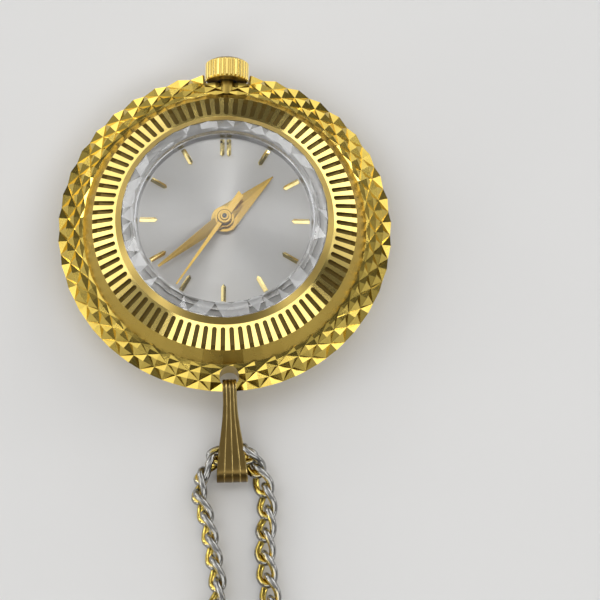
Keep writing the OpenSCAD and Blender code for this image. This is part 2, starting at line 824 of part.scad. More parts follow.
module balance_cock() {
    z = cock_z;
    stud_at = balance_at + polar(hairspring_r() + 0.22, 0);
    color(nickel) difference() {
        union() {
            translate([0, 0, z]) linear_extrude(cock_t) hull() {
                translate(balance_at) circle(1, $fn = 32);
                translate(cock_pillar) circle(pillar_r + ledge, $fn = 32);
            }
            translate([0, 0, z]) linear_extrude(cock_t) hull() {
                translate(balance_at) circle(0.5, $fn = 32);
                translate(stud_at) circle(0.3, $fn = 32);
            }
            pillars([cock_pillar], z + 0.1);
            at(stud_at, z + 0.1) disc(0.12, cock_t + 0.14);
        }
        at(balance_at, z - past) disc(jewel_r + fit, 4);
        screw_holes([cock_pillar]);
    }
}

module pallet_cock() {
    z = pallet_cock_z;
    color(nickel) difference() {
        union() {
            translate([0, 0, z]) linear_extrude(pallet_cock_t) hull() {
                translate(pallet_at) circle(0.4, $fn = 32);
                translate(pallet_pillar) circle(pillar_r + ledge, $fn = 32);
            }
            pillars([pallet_pillar], z + 0.1);
        }
        at(pallet_at, 0) disc(arbor_r + running, plate_top);
        screw_holes([pallet_pillar]);
    }
}

module screw(p, z) {
    at(p, z - screw_head_h) difference() {
        union() {
            disc(screw_head_r, screw_head_h);
            disc(screw_r, plate_z + 0.6 - z + screw_head_h);
        }
        translate([-1, -0.06, -past]) cube([2, 0.12, past + 0.1]);
    }
}

module bridge_screws() {
    color("#4a5f86") {
        for (p = barrel_pillars) screw(p, barrel_bridge_z);
        for (p = train_pillars) screw(p, train_bridge_z);
        screw(cock_pillar, cock_z);
        screw(pallet_pillar, pallet_cock_z);
    }
}

function train_jewels() = [third_at, [0, 0], escape_at];

module jewel(p, z, hole_r) {
    at(p, z) ring(jewel_r, hole_r + running, jewel_t);
}

module jewels() {
    z = train_bridge_z + train_bridge_t - jewel_t;
    color("#b3304f") {
        jewel(third_at, z, arbor_r);
        jewel([0, 0], z, seconds_r);
        jewel(escape_at, z, arbor_r);
        jewel(balance_at, cock_z + cock_t - jewel_t, arbor_r);
    }
}

// Barrel and winding wheels

module barrel() {
    m = barrel_dist / 36;
    wall = 0.2;
    color(brass) at(barrel_at, barrel_z) difference() {
        union() {
            toothed(64, m, 0.25, barrel_turn + 180);
            disc(drum_r, 1.18);
        }
        translate([0, 0, wall]) disc(drum_r - wall, 0.8);
        translate([0, 0, -past]) disc(barrel_arbor_r + running, 4);
    }
}

module mainspring() {
    color(steel) at(barrel_at, barrel_z + 0.3) linear_extrude(0.6)
        polygon(spiral_points(1, drum_r - 0.4, 7, 0.13));
}

module barrel_arbor() {
    color(steel) at(barrel_at, 0) {
        translate([0, 0, ratchet_z + ratchet_t]) disc(barrel_arbor_r, barrel_z + 1.2 - ratchet_z - ratchet_t);
        translate([0, 0, barrel_z + 0.25]) disc(0.8, 0.7);
        translate([0, 0, barrel_z + 1.1]) disc(0.2, plate_top - 0.05 - barrel_z - 1.1);
    }
}

module ratchet_wheel() {
    color(steel) at(barrel_at, ratchet_z) difference() {
        toothed(ratchet_teeth, ratchet_module, ratchet_t, heading(barrel_at, crown_wheel_at));
        translate([0, 0, -past]) disc(0.3, 3);
    }
}

module ratchet_screw() {
    color("#4a5f86") at(barrel_at, ratchet_z - 0.25) difference() {
        union() {
            disc(0.62, 0.25);
            disc(0.3 - fit, 0.25 + ratchet_t);
        }
        translate([-1, -0.08, -past]) cube([2, 0.16, past + 0.1]);
    }
}

module crown_wheel() {
    color(steel) at(crown_wheel_at, ratchet_z) difference() {
        meshing(crown_wheel_teeth, ratchet_module, ratchet_t, heading(crown_wheel_at, barrel_at));
        translate([0, 0, -past]) disc(0.4 + running, 3);
    }
}

module crown_wheel_screw() {
    color("#4a5f86") at(crown_wheel_at, ratchet_z - 0.3) difference() {
        disc(0.6, 0.25);
        translate([-1, -0.08, -past]) cube([2, 0.16, past + 0.1]);
    }
}

function click_at() = barrel_at + polar(ratchet_r + 0.75, -62);

module click() {
    tip = barrel_at + polar(ratchet_r + ratchet_module + 0.12, -84);
    color(steel) translate([0, 0, ratchet_z]) linear_extrude(ratchet_t) difference() {
        hull() {
            translate(click_at()) circle(0.45, $fn = 32);
            translate(tip) circle(0.06, $fn = 24);
        }
        translate(click_at()) circle(0.2 + running);
    }
}

// Going train

module centre_wheel() {
    m = third_dist / 36;
    color(brass) difference() {
        union() {
            translate([0, 0, centre_z]) toothed(64, m, wheel_t, third_turn);
            translate([0, 0, centre_z]) disc(0.5, 0.3);
            translate([0, 0, centre_z + 0.2]) meshing(8, barrel_dist / 36, 0.5, barrel_turn);
            translate([0, 0, centre_z]) disc(centre_out_r, minute_z - centre_z);
        }
        disc(centre_in_r, second_z);
        for (i = [0 : 4]) rotate(72 * i) at([2.1, 0], 0) disc(0.75, dial_z);
    }
}

module third_wheel() {
    color(brass) at(third_at, 0) difference() {
        union() {
            translate([0, 0, third_z]) toothed(60, third_dist / 34, wheel_t, third_turn + 180);
            translate([0, 0, third_z + 0.1]) meshing(8, third_dist / 36, 0.55, third_turn + 180);
            translate([0, 0, train_bridge_z + 0.3]) disc(arbor_r, pivot_top - train_bridge_z - 0.3);
        }
        for (i = [0 : 4]) rotate(72 * i) at([2.05, 0], third_z - past) disc(0.75, past + wheel_t + 0.05);
    }
}

module fourth_wheel() {
    color(brass) difference() {
        union() {
            translate([0, 0, fourth_z]) toothed(60, escape_dist / 33, wheel_t, escape_turn);
            translate([0, 0, fourth_z + 0.1]) disc(0.35, third_z - fourth_z);
            translate([0, 0, third_z - 0.05]) meshing(8, third_dist / 34, 0.3, third_turn);
            translate([0, 0, train_bridge_z + 0.3]) disc(seconds_r, second_z + 0.4 - train_bridge_z - 0.3);
        }
        for (i = [0 : 4]) rotate(72 * i) at([2.2, 0], fourth_z - past) disc(0.8, past + wheel_t + 0.05);
    }
}

module escape_wheel() {
    teeth = 15;
    step = 360 / teeth;
    color(brass) at(escape_at, 0) {
        translate([0, 0, third_z]) linear_extrude(wheel_t) difference() {
            polygon([for (i = [0 : teeth - 1]) each [
                polar(escape_r * 0.72, (i - 0.25) * step), polar(escape_r, (i + 0.25) * step),
                polar(escape_r, (i + 0.4) * step), polar(escape_r * 0.72, (i + 0.3) * step)
            ]]);
            for (i = [0 : 3]) rotate(90 * i + 45) translate([escape_r * 0.42, 0]) circle(escape_r * 0.2);
        }
        translate([0, 0, fourth_z - 0.05])
            meshing(6, escape_dist / 33, third_z - fourth_z + 0.1, escape_turn + 180);
        translate([0, 0, train_bridge_z + 0.3]) disc(arbor_r, pivot_top - train_bridge_z - 0.3);
    }
}

module pallet_fork() {
    span = 32;
    in_r = escape_r + 0.1;
    fork_l = norm(balance_at - pallet_at) - 0.3;
    color(steel) {
        at(escape_at, third_z) rotate(lever_turn) {
            rotate(-span) rotate_extrude(angle = 2 * span) translate([in_r, 0]) square([0.34, wheel_t]);
            for (side = [-1, 1]) rotate(side * span) translate([escape_r + 0.04, -0.08, 0])
                cube([0.4, 0.16, wheel_t]);
        }
        at(pallet_at, third_z) rotate(lever_turn) linear_extrude(wheel_t) difference() {
            translate([-0.1, -0.14]) square([fork_l + 0.1, 0.28]);
            translate([fork_l - 0.3, -0.085]) square([1, 0.17]);
        }
        at(pallet_at, pallet_cock_z + 0.05) disc(arbor_r, pivot_top - pallet_cock_z - 0.05);
    }
}

module balance_wheel() {
    rim_w = 0.32;
    roller_z = third_z + wheel_t + 0.05;
    color(brass) at(balance_at, 0) {
        translate([0, 0, balance_z]) {
            ring(balance_r, balance_r - rim_w, balance_t);
            rotate(lever_turn + 90) translate([-balance_r + rim_w / 2, -0.2, 0])
                cube([2 * balance_r - rim_w, 0.4, balance_t]);
            disc(0.5, balance_t);
        }
        translate([0, 0, cock_z + 0.3]) disc(arbor_r, pivot_top - cock_z - 0.3);
        translate([0, 0, roller_z]) disc(0.5, 0.15);
        rotate(lever_turn + 180) translate([0.36, 0, third_z]) disc(0.06, roller_z + 0.1 - third_z);
    }
}

function hairspring_r() = 1.7;

module hairspring() {
    z = cock_z + cock_t + 0.1;
    color("#3d5ea8") at(balance_at, z) {
        linear_extrude(0.14) polygon(spiral_points(0.3, hairspring_r(), 6, 0.06));
        ring(0.32, arbor_r + fit, balance_z - z);
    }
}

// Bail

// Outline round two circles of radius r0 and r1 that stand l apart
module teardrop(r0, r1, l) {
    a = 90 + asin((r0 - r1) / l) * -1;
    circle(r0);
    translate([l, 0]) circle(r1);
    polygon([polar(r0, a), polar(r0, -a), [l, 0] + polar(r1, -a), [l, 0] + polar(r1, a)]);
}

// Half the width of the bail, from its neck to its broad end
function bail_half(s) = let (
    t = min(1, max(0, (s - bail_neck_l) / (bail_l + bail_end_r - bail_neck_l)))
) (bail_neck_w + (bail_w - bail_neck_w) * t * t * (3 - 2 * t)) / 2;

module bail() {
    back = -bail_in_r - bail_t;
    end = bail_l + bail_end_r;
    steps = 20;
    edge = [for (i = [0 : steps]) let (s = back + (end - back) * i / steps) [s, bail_half(s)]];
    far_edge = [for (i = [steps : -1 : 0]) [edge[i][0], -edge[i][1]]];
    depth = bail_in_r + bail_end_r + past;
    color(gold) rotate(hole_turn - 90) translate([hinge_r, 0, hinge_z]) rotate([0, bail_tilt, 0]) intersection() {
        translate([0, bail_w / 2, 0]) rotate([90, 0, 0]) linear_extrude(bail_w) difference() {
            teardrop(bail_in_r + bail_t, bail_end_r, bail_l);
            teardrop(bail_in_r, bail_end_in_r, bail_l);
        }
        translate([0, 0, -depth]) linear_extrude(2 * depth) polygon(concat(edge, far_edge));
    }
}

// Chain

// Point of a smooth curve through the route, t counted in route points
function smooth(route, t) = let (
    last = len(route) - 1, i = min(floor(t), last - 1), u = t - i,
    p0 = route[max(i - 1, 0)], p1 = route[i], p2 = route[i + 1], p3 = route[min(i + 2, last)]
) ((2 * p1) + (p2 - p0) * u + (2 * p0 - 5 * p1 + 4 * p2 - p3) * u * u
    + (3 * p1 - p0 - 3 * p2 + p3) * u * u * u) / 2;

function fine(route) = [for (i = [0 : (len(route) - 1) * route_steps]) smooth(route, i / route_steps)];

function lengths(path) = [
    for (i = 0, s = 0; i < len(path); i = i + 1, s = s + (i < len(path) ? norm(path[i] - path[i - 1]) : 0)) s
];

// Point at distance s along a path whose running lengths are known
function point_at(path, runs, s, i = 1) =
    i >= len(path) - 1 || runs[i] >= s
        ? path[i - 1] + (path[i] - path[i - 1]) * (s - runs[i - 1]) / (runs[i] - runs[i - 1])
        : point_at(path, runs, s, i + 1);

// Frame of a link: forward, sideways and up, rolled about forward
function link_frame(f, roll) = let (
    side = unit(cross([0, 0, 1], f)), up = cross(f, side)
) [f, side * cos(roll) + up * sin(roll), up * cos(roll) - side * sin(roll)];

// Middle of the wire of a twisted oval link
function wire_point(a) = let (
    x = link_l / 2 * cos(a), y = link_w / 2 * sin(a), turn = link_twist * cos(a)
) [x, y * cos(turn), y * sin(turn)];

// Wire bent along a closed curve: curve(a) gives its middle, and frame and centre place it
module bent_wire(curve, centre, frame) {
    place = function (p) centre + p[0] * frame[0] + p[1] * frame[1] + p[2] * frame[2];
    loop_skin([for (i = [0 : wire_rings - 1]) let (
        a = 360 * i / wire_rings, p = curve(a), along = unit(curve(a + 2) - curve(a - 2)),
        out = unit(cross(along, cross(p, along))), up = cross(along, out)
    ) [for (j = [0 : wire_sides - 1]) place(
        p + wire_d / 2 * (cos(360 * j / wire_sides) * out + sin(360 * j / wire_sides) * up)
    )]]);
}

// Links in a row along a route
module links(route, roll) {
    path = fine(route);
    runs = lengths(path);
    run = runs[len(runs) - 1];
    count = floor(run / link_pitch);
    for (i = [0 : count - 1]) {
        a = point_at(path, runs, i * run / count);
        b = point_at(path, runs, (i + 1) * run / count);
        bent_wire(function (t) wire_point(t), (a + b) / 2,
            link_frame(unit(b - a), roll[0] + roll[1] * min(i, roll[2])));
    }
}

// Moves the chain with the end of the bail
module from_bail() {
    translate([chain_at[0], chain_at[1], 0]) children();
}

module bail_link() {
    oval = function (a) [ring_l / 2 * cos(a), ring_w / 2 * sin(a), 0];
    color(silver) from_bail() bent_wire(oval, ring_at, link_frame([1, 0, 0], 0));
}

module chain_right() {
    color(silver) from_bail() links(right_route, right_roll);
}

module chain_left() {
    color(silver) from_bail() links(left_route, left_roll);
}

// Route of the coil: in on the lower layer, up, and out on the upper layer
function coil_radius(t) = coil_in_r + coil_step * abs(t);
function coil_height(t) = coil_z + coil_rise * min(1, max(0, t * 2 + 0.5));
function coil_wound() = let (n = coil_turns * 2 * coil_rings) [for (i = [0 : n]) let (
    t = i / coil_rings - coil_turns, r = coil_radius(t), a = coil_start - 360 * (t + coil_turns)
) [coil_at[0] + r * cos(a), coil_at[1] + r * sin(a), coil_height(t)]];

// The wound turns with a straight run at each end
function coil_route() = let (p = coil_wound(), n = len(p) - 1) concat(
    [p[0] + coil_d * unit(p[0] - p[1])], p, [p[n] + coil_d * unit(p[n] - p[n - 1])]
);

function coil_gap(path) = min([for (i = [0 : len(path) - 1], j = [i + coil_rings / 2 : len(path) - 1])
    if (j < len(path)) norm(path[i] - path[j])]) - coil_d;

module chain_coil() {
    path = coil_route();
    last = len(path) - 1;
    echo(coil_length = lengths(path)[last], coil_gap = coil_gap(path));
    color(silver) from_bail() skin([for (i = [0 : last]) let (
        along = unit(path[min(i + 1, last)] - path[max(i - 1, 0)]),
        side = unit(cross([0, 0, 1], along)), up = cross(along, side)
    ) [for (j = [0 : coil_sides - 1]) path[i]
        + coil_d / 2 * (cos(360 * j / coil_sides) * side + sin(360 * j / coil_sides) * up)]]);
}

// Paper tie round the turns of the coil
module chain_tie() {
    in_r = coil_in_r - coil_d;
    out_r = coil_radius(coil_turns) + coil_d;
    high = coil_z + coil_rise + coil_d / 2 + 0.1;
    low = coil_z - coil_d / 2 - 0.1;
    color("whitesmoke") from_bail() translate([coil_at[0], coil_at[1], 0]) rotate(-90)
        translate([0, tie_w / 2, 0]) rotate([90, 0, 0]) linear_extrude(tie_w) difference() {
            translate([in_r - tie_t, low - tie_t]) square([out_r - in_r + 2 * tie_t, high - low + 2 * tie_t]);
            translate([in_r, low]) square([out_r - in_r, high - low]);
        }
}

case_back();
case_body();
bezel();
crystal();
crystal_ring();
movement_ring();
crown_tube();
crown();
crown_gasket();
stem();
winding_pinion();
clutch_wheel();
setting_lever();
setting_wheel();
dial();
hour_markers();
hour_hand();
minute_hand();
second_hand();
hour_wheel();
cannon_pinion();
minute_wheel();
main_plate();
barrel_bridge();
train_bridge();
balance_cock();
pallet_cock();
bridge_screws();
jewels();
barrel();
mainspring();
barrel_arbor();
ratchet_wheel();
ratchet_screw();
crown_wheel();
crown_wheel_screw();
click();
centre_wheel();
third_wheel();
fourth_wheel();
escape_wheel();
pallet_fork();
balance_wheel();
hairspring();
bail();
bail_link();
chain_right();
chain_left();
chain_coil();
chain_tie();
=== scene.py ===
"""Looks of a pendant watch: its materials, its chain and a plain studio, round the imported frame."""

import math

import bmesh
import bpy
from mathutils import Matrix, Quaternion, Vector


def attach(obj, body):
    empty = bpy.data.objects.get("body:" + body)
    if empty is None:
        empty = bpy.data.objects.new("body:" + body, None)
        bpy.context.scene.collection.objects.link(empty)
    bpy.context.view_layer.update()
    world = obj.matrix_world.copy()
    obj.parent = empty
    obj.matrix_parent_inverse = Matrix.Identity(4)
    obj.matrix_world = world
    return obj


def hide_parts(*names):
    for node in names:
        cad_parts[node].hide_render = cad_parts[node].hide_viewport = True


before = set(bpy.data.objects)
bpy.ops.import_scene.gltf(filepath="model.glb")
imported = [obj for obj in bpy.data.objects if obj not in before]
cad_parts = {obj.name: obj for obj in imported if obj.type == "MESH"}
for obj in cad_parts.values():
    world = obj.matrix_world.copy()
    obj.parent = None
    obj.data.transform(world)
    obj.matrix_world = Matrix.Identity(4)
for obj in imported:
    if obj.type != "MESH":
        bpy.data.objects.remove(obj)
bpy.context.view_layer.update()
MM = 0.001

# Camera: the photograph's viewing angle, through a long lens
VIEW_ELEVATION = math.radians(72.7)
VIEW_ROLL = math.radians(0.7)
VIEW_WIDTH = 53.9 * MM
LOOK_AT = Vector((6.85, -6.27, 3.2)) * MM
LENS = 600
SENSOR = 36
CLIP = (0.01, 10)


def add_camera():
    data = bpy.data.cameras.new("camera")
    data.lens = LENS
    data.sensor_width = SENSOR
    data.clip_start, data.clip_end = CLIP
    distance = VIEW_WIDTH * LENS / SENSOR
    back = Vector((0, -math.cos(VIEW_ELEVATION), math.sin(VIEW_ELEVATION)))
    camera = bpy.data.objects.new("camera", data)
    camera.location = LOOK_AT + back * distance
    camera.rotation_mode = "QUATERNION"
    camera.rotation_quaternion = (-back).to_track_quat("-Z", "Y") @ Quaternion((0, 0, 1), VIEW_ROLL)
    bpy.context.collection.objects.link(camera)
    bpy.context.scene.camera = camera


# Node helpers

# What counts in the distance from an axis along Z or along Y
FROM_Z = (1.0, 1.0, 0.0)
FROM_Y = (1.0, 0.0, 1.0)


class Nodes:
    """A node tree, with short calls for the nodes that the finishes and the sky share."""

    def __init__(self, tree):
        self.nodes = tree.nodes
        self.links = tree.links

    def add(self, kind, inputs=None, **settings):
        made = self.nodes.new(kind)
        for key, value in settings.items():
            setattr(made, key, value)
        for key, value in (inputs or {}).items():
            self.set(made.inputs[key], value)
        return made

    def set(self, socket, value):
        if isinstance(value, bpy.types.NodeSocket):
            self.links.new(value, socket)
        else:
            socket.default_value = value

    def math(self, operation, a, b=0.0):
        return self.add("ShaderNodeMath", {0: a, 1: b}, operation=operation).outputs[0]

    def vector(self, operation, a, b=(0.0, 0.0, 0.0)):
        """Result of a vector operation, which is a number for LENGTH and DOT_PRODUCT."""
        made = self.add("ShaderNodeVectorMath", {0: a, 1: b}, operation=operation)
        return made.outputs["Value" if operation in ("LENGTH", "DOT_PRODUCT") else "Vector"]

    def spread(self, value, low, high, from_low=0.3, from_high=0.7, shape="LINEAR"):
        """From low to high as the value goes from from_low to from_high."""
        inputs = {"Value": value, "From Min": from_low, "From Max": from_high, "To Min": low, "To Max": high}
        return self.add("ShaderNodeMapRange", inputs, interpolation_type=shape).outputs["Result"]


class Shader(Nodes):
    """A material with one surface shader."""

    def __init__(self, name):
        self.material = bpy.data.materials.new(name)
        self.material.use_nodes = True
        super().__init__(self.material.node_tree)
        self.surface = self.nodes["Principled BSDF"]
        self.place = self.add("ShaderNodeTexCoord").outputs["Object"]

    def finish(self, **values):
        for key, value in values.items():
            self.set(self.surface.inputs[key.replace("_", " ")], value)
        return self.material

    def noise(self, vector, scale, detail, roughness=0.5):
        inputs = {"Vector": vector, "Scale": scale, "Detail": detail, "Roughness": roughness}
        return self.add("ShaderNodeTexNoise", inputs).outputs["Fac"]

    def blend(self, share, first, second):
        made = self.add("ShaderNodeMix", data_type="RGBA")
        self.set(made.inputs["Factor"], share)
        self.set(made.inputs["A"], first)
        self.set(made.inputs["B"], second)
        return made.outputs["Result"]

    def bump(self, height, distance, strength):
        inputs = {"Height": height, "Distance": distance, "Strength": strength}
        return self.add("ShaderNodeBump", inputs).outputs["Normal"]

    def stretched(self, scale):
        """The place, scaled along each axis."""
        return self.vector("MULTIPLY", self.place, scale)

    def parts(self):
        split = self.add("ShaderNodeSeparateXYZ", {"Vector": self.place})
        return split.outputs["X"], split.outputs["Y"], split.outputs["Z"]

    def distance(self, keep, centre=(0.0, 0.0, 0.0)):
        """Distance from the axis through a centre."""
        moved = self.vector("SUBTRACT", self.place, centre)
        return self.vector("LENGTH", self.vector("MULTIPLY", moved, keep))

    def line(self, value):
        """Vector along X, so that noise on it changes with the value alone."""
        return self.add("ShaderNodeCombineXYZ", {"X": value}).outputs["Vector"]

    def wear_and_highlight(self):
        return self.add("ShaderNodeAttribute", attribute_name="wear_and_highlight").outputs["Fac"]


def rgb(red, green, blue):
    return (red, green, blue, 1.0)


def darker(colour, share):
    return rgb(*(share * part for part in colour[:3]))


# Colours
GILT = rgb(0.7, 0.525, 0.12)
GILT_DEEP = rgb(0.47, 0.312, 0.052)
GILT_BRIGHT = rgb(0.88, 0.68, 0.23)
BAND_SHADE = rgb(0.36, 0.235, 0.05)
LIP_SHADE = rgb(0.42, 0.29, 0.08)
# Painted shade between the crown's ribs
RIB_PAINTED_SHADE = rgb(0.17, 0.105, 0.022)
# Dark brown laid over the gilt: painted shade behind the crown and in the bezel's flutes, and the darker
# case above the bezel's seat
DARK_BROWN = rgb(0.07, 0.042, 0.01)
HAND = rgb(0.68, 0.45, 0.11)
HAND_DEEP = rgb(0.46, 0.275, 0.052)
# Painted shade round the hub of the seconds hand
HUB_PAINTED_SHADE = rgb(0.2, 0.115, 0.025)
MARKER = rgb(0.82, 0.68, 0.32)
MARKER_DEEP = rgb(0.6, 0.46, 0.16)
# Gold of the crown tube, darkened as painted shade of the recess it sits in
TUBE_SHADED = rgb(0.4, 0.28, 0.065)
TUBE_SHADED_DEEP = rgb(0.26, 0.17, 0.035)
# Bail: gold darkened as painted shade, and a painted highlight that also shows in random rubbed patches
BAIL_SHADED = rgb(0.2, 0.135, 0.042)
BAIL_SHADED_DEEP = rgb(0.105, 0.066, 0.018)
BAIL_HIGHLIGHT_AND_WEAR = rgb(0.72, 0.55, 0.22)
CHAIN_WORN = rgb(0.33, 0.325, 0.31)
BACK = rgb(0.66, 0.655, 0.64)
BACK_DARK = rgb(0.5, 0.495, 0.48)
BACK_SCRATCH = rgb(0.8, 0.79, 0.77)
SILVER = rgb(0.61, 0.6, 0.58)
SILVER_DARK = rgb(0.46, 0.45, 0.435)
SILVER_AGED = rgb(0.5, 0.48, 0.44)
ACRYLIC = rgb(0.98, 0.985, 0.99)
STEEL = rgb(0.62, 0.62, 0.63)
BRASS = rgb(0.78, 0.56, 0.22)
NICKEL = rgb(0.66, 0.64, 0.6)
BLUED = rgb(0.06, 0.12, 0.4)
RUBY = rgb(0.6, 0.02, 0.06)
RUBBER = rgb(0.03, 0.03, 0.03)
# Dark colour of the pivot's cap: a painted dark reflection of its surroundings
PIVOT_DARKENED = rgb(0.13, 0.12, 0.11)
PAPER = rgb(0.8, 0.79, 0.76)
FLOOR = rgb(0.78, 0.775, 0.765)

# Places on the case that the finishes follow
STEM_AT = (0.0, 0.0, 3.6 * MM)
BEZEL_SEAT = 5.85 * MM
BEZEL_R = 11.9 * MM
FLUTE_RUN = 2.1 * MM
FLUTE_DROP = 1.05 * MM
FLUTE_IN_R = BEZEL_R - FLUTE_RUN
# Where one finish or painted shade fades into the next: from and to a radius, a height or a depth
BAND_FOOT_R = (12.78 * MM, 12.84 * MM)
BAND_FOOT_Z = (4.2 * MM, 4.3 * MM)
RECESS_R = (2.12 * MM, 2.2 * MM)
RECESS_Y = (13.7 * MM, 13.9 * MM)
SEAT_Z = (BEZEL_SEAT - 0.01 * MM, BEZEL_SEAT - 0.003 * MM)
FLUTE_DEPTH = (0.03 * MM, 0.09 * MM)
LIP_R = (FLUTE_IN_R, FLUTE_IN_R + 0.05 * MM)
RIB_R = (1.74 * MM, 1.89 * MM)
# Rings of painted shade round the hub of the seconds hand, from and to a radius, and the fade of their edges
HUB_SHADE_RINGS = ((0.59 * MM, 0.66 * MM), (0.36 * MM, 0.4 * MM))
HUB_FADE = 0.02 * MM
HAND_ROUGH = (0.14, 0.24)
GRAIN_DEPTH = 0.004 * MM


class Gilt(Shader):
    """Worn gold plate: cloudy tint, fine grain, and colours laid over where masks say: painted shade,
    painted highlights and satin finishes.
    """

    def __init__(self, name, bright=GILT, deep=GILT_DEEP, rough=(0.1, 0.2)):
        super().__init__(name)
        cloud = self.noise(self.place, scale=350.0, detail=4.0)
        self.tint = self.blend(self.spread(cloud, 0.0, 0.4), bright, deep)
        self.rough = self.spread(cloud, *rough)

    def lay_over(self, mask, colour=DARK_BROWN, rough=0.5):
        self.tint = self.blend(mask, self.tint, colour)
        apart = self.math("SUBTRACT", rough, self.rough)
        self.rough = self.math("ADD", self.rough, self.math("MULTIPLY", apart, mask))

    def made(self, grain=0.35):
        normal = self.bump(self.noise(self.place, scale=9000.0, detail=2.0), GRAIN_DEPTH, grain)
        return self.finish(Base_Color=self.tint, Metallic=1.0, Roughness=self.rough, Normal=normal)


def case_gilt():
    """Case: satin band, bright flange, painted shade in the recess behind the crown, and darker where the
    case rises above the bezel's seat.
    """
    s = Gilt("case_gilt")
    _, y, z = s.parts()
    inside = s.spread(s.distance(FROM_Z), 1.0, 0.0, *BAND_FOOT_R)
    band = s.math("MULTIPLY", inside, s.spread(z, 0.0, 1.0, *BAND_FOOT_Z))
    s.lay_over(s.math("MULTIPLY", band, 0.55), BAND_SHADE, rough=0.36)
    # Painted shade in the recess behind the crown
    near_stem = s.spread(s.distance(FROM_Y, STEM_AT), 1.0, 0.0, *RECESS_R)
    recess = s.math("MULTIPLY", near_stem, s.spread(y, 0.0, 1.0, *RECESS_Y))
    s.lay_over(s.math("MULTIPLY", recess, 0.7))
    # Darker where the case rises above the bezel's seat
    s.lay_over(s.spread(z, 0.0, 0.9, *SEAT_Z), rough=0.42)
    return s.made()


def bezel_gilt():
    """Bezel: bright bars, painted shade in the flutes between them, and a satin lip."""
    s = Gilt("bezel_gilt", GILT_BRIGHT, GILT, rough=(0.1, 0.18))
    z = s.parts()[2]
    radius = s.distance(FROM_Z)
    slope = s.spread(radius, BEZEL_SEAT + FLUTE_DROP, BEZEL_SEAT, FLUTE_IN_R, BEZEL_R)
    flute = s.spread(s.math("SUBTRACT", slope, z), 0.0, 1.0, *FLUTE_DEPTH)
    bars = s.spread(radius, 0.0, 1.0, *LIP_R)
    lip = s.math("MULTIPLY", s.math("SUBTRACT", 1.0, bars), 0.7)
    s.lay_over(lip, LIP_SHADE)
    # Painted shade in the flutes, where they sink below the slope of the bars
    s.lay_over(s.math("MULTIPLY", s.math("MULTIPLY", flute, bars), 0.9), rough=0.42)
    return s.made()


def crown_gilt():
    """Crown: bright ribs with painted shade between them."""
    s = Gilt("crown_gilt", GILT_BRIGHT, GILT)
    # Painted shade between the ribs
    s.lay_over(s.spread(s.distance(FROM_Y, STEM_AT), 0.9, 0.0, *RIB_R), RIB_PAINTED_SHADE, rough=0.35)
    return s.made()


def seconds_gilt():
    """Seconds hand: its hub has a ring of painted shade round its edge and round the boss in the middle."""
    s = Gilt("gilt_seconds", HAND, HAND_DEEP, HAND_ROUGH)
    radius = s.distance(FROM_Z)
    # Painted shade in two rings round the hub
    for inner, outer in HUB_SHADE_RINGS:
        past = s.spread(radius, 0.0, 0.85, inner - HUB_FADE, inner)
        before = s.spread(radius, 1.0, 0.0, outer, outer + HUB_FADE)
        s.lay_over(s.math("MULTIPLY", past, before), HUB_PAINTED_SHADE, rough=0.4)
    return s.made()


def shaded_bail():
    """Bail: gold darkened as painted shade, with painted highlights along the engraved lines and the edges,
    broken by random rubbed patches.
    """
    s = Gilt("bail_gilt", BAIL_SHADED, BAIL_SHADED_DEEP, rough=(0.28, 0.45))
    patches = s.spread(s.noise(s.place, scale=1200.0, detail=3.0), -0.2, 0.2)
    # Painted highlight along the engraved lines and edges, mixed with random rubbed patches
    highlight_and_wear = s.spread(s.math("ADD", s.wear_and_highlight(), patches), 0.0, 0.9, 0.3, 0.8)
    s.lay_over(highlight_and_wear, BAIL_HIGHLIGHT_AND_WEAR, rough=0.22)
    return s.made(grain=0.5)


def plated_chain():
    """Gilt links whose plate has worn to grey on the high spots."""
    s = Shader("chain_plate")
    patches = s.spread(s.noise(s.place, scale=900.0, detail=4.0), -0.25, 0.25)
    marked = s.math("ADD", s.wear_and_highlight(), patches)
    tint = s.blend(s.spread(marked, 0.0, 1.0, 0.36, 0.68), GILT, CHAIN_WORN)
    rough = s.spread(marked, 0.14, 0.24, 0.42, 0.75)
    normal = s.bump(s.noise(s.place, scale=7000.0, detail=2.0), 0.005 * MM, strength=0.4)
    return s.finish(Base_Color=tint, Metallic=1.0, Roughness=rough, Normal=normal)


def metal(name, colour, rough):
    """Plain worked metal with a fine grain."""
    s = Shader(name)
    cloud = s.noise(s.place, scale=500.0, detail=3.0)
    tint = s.blend(s.spread(cloud, 0.0, 0.4), colour, darker(colour, 0.8))
    uneven = s.spread(cloud, rough * 0.8, rough * 1.2)
    normal = s.bump(s.noise(s.place, scale=6000.0, detail=2.0), GRAIN_DEPTH, strength=0.3)
    return s.finish(Base_Color=tint, Metallic=1.0, Roughness=uneven, Normal=normal)


def turned_steel():
    """Steel back: fine turned circles, a soft sheen and a few light scratches."""
    s = Shader("turned_steel")
    circles = s.noise(s.line(s.distance(FROM_Z)), scale=14000.0, detail=3.0, roughness=0.7)
    scratch = s.noise(s.stretched((1.0, 0.06, 1.0)), scale=5000.0, detail=2.0)
    tint = s.blend(s.spread(circles, 0.0, 0.5), BACK, BACK_DARK)
    marked = s.blend(s.spread(scratch, 0.0, 0.35, 0.62, 0.72), tint, BACK_SCRATCH)
    rough = s.spread(circles, 0.22, 0.36)
    normal = s.bump(s.math("ADD", circles, scratch), 0.003 * MM, strength=0.5)
    return s.finish(Base_Color=marked, Metallic=1.0, Roughness=rough, Normal=normal)


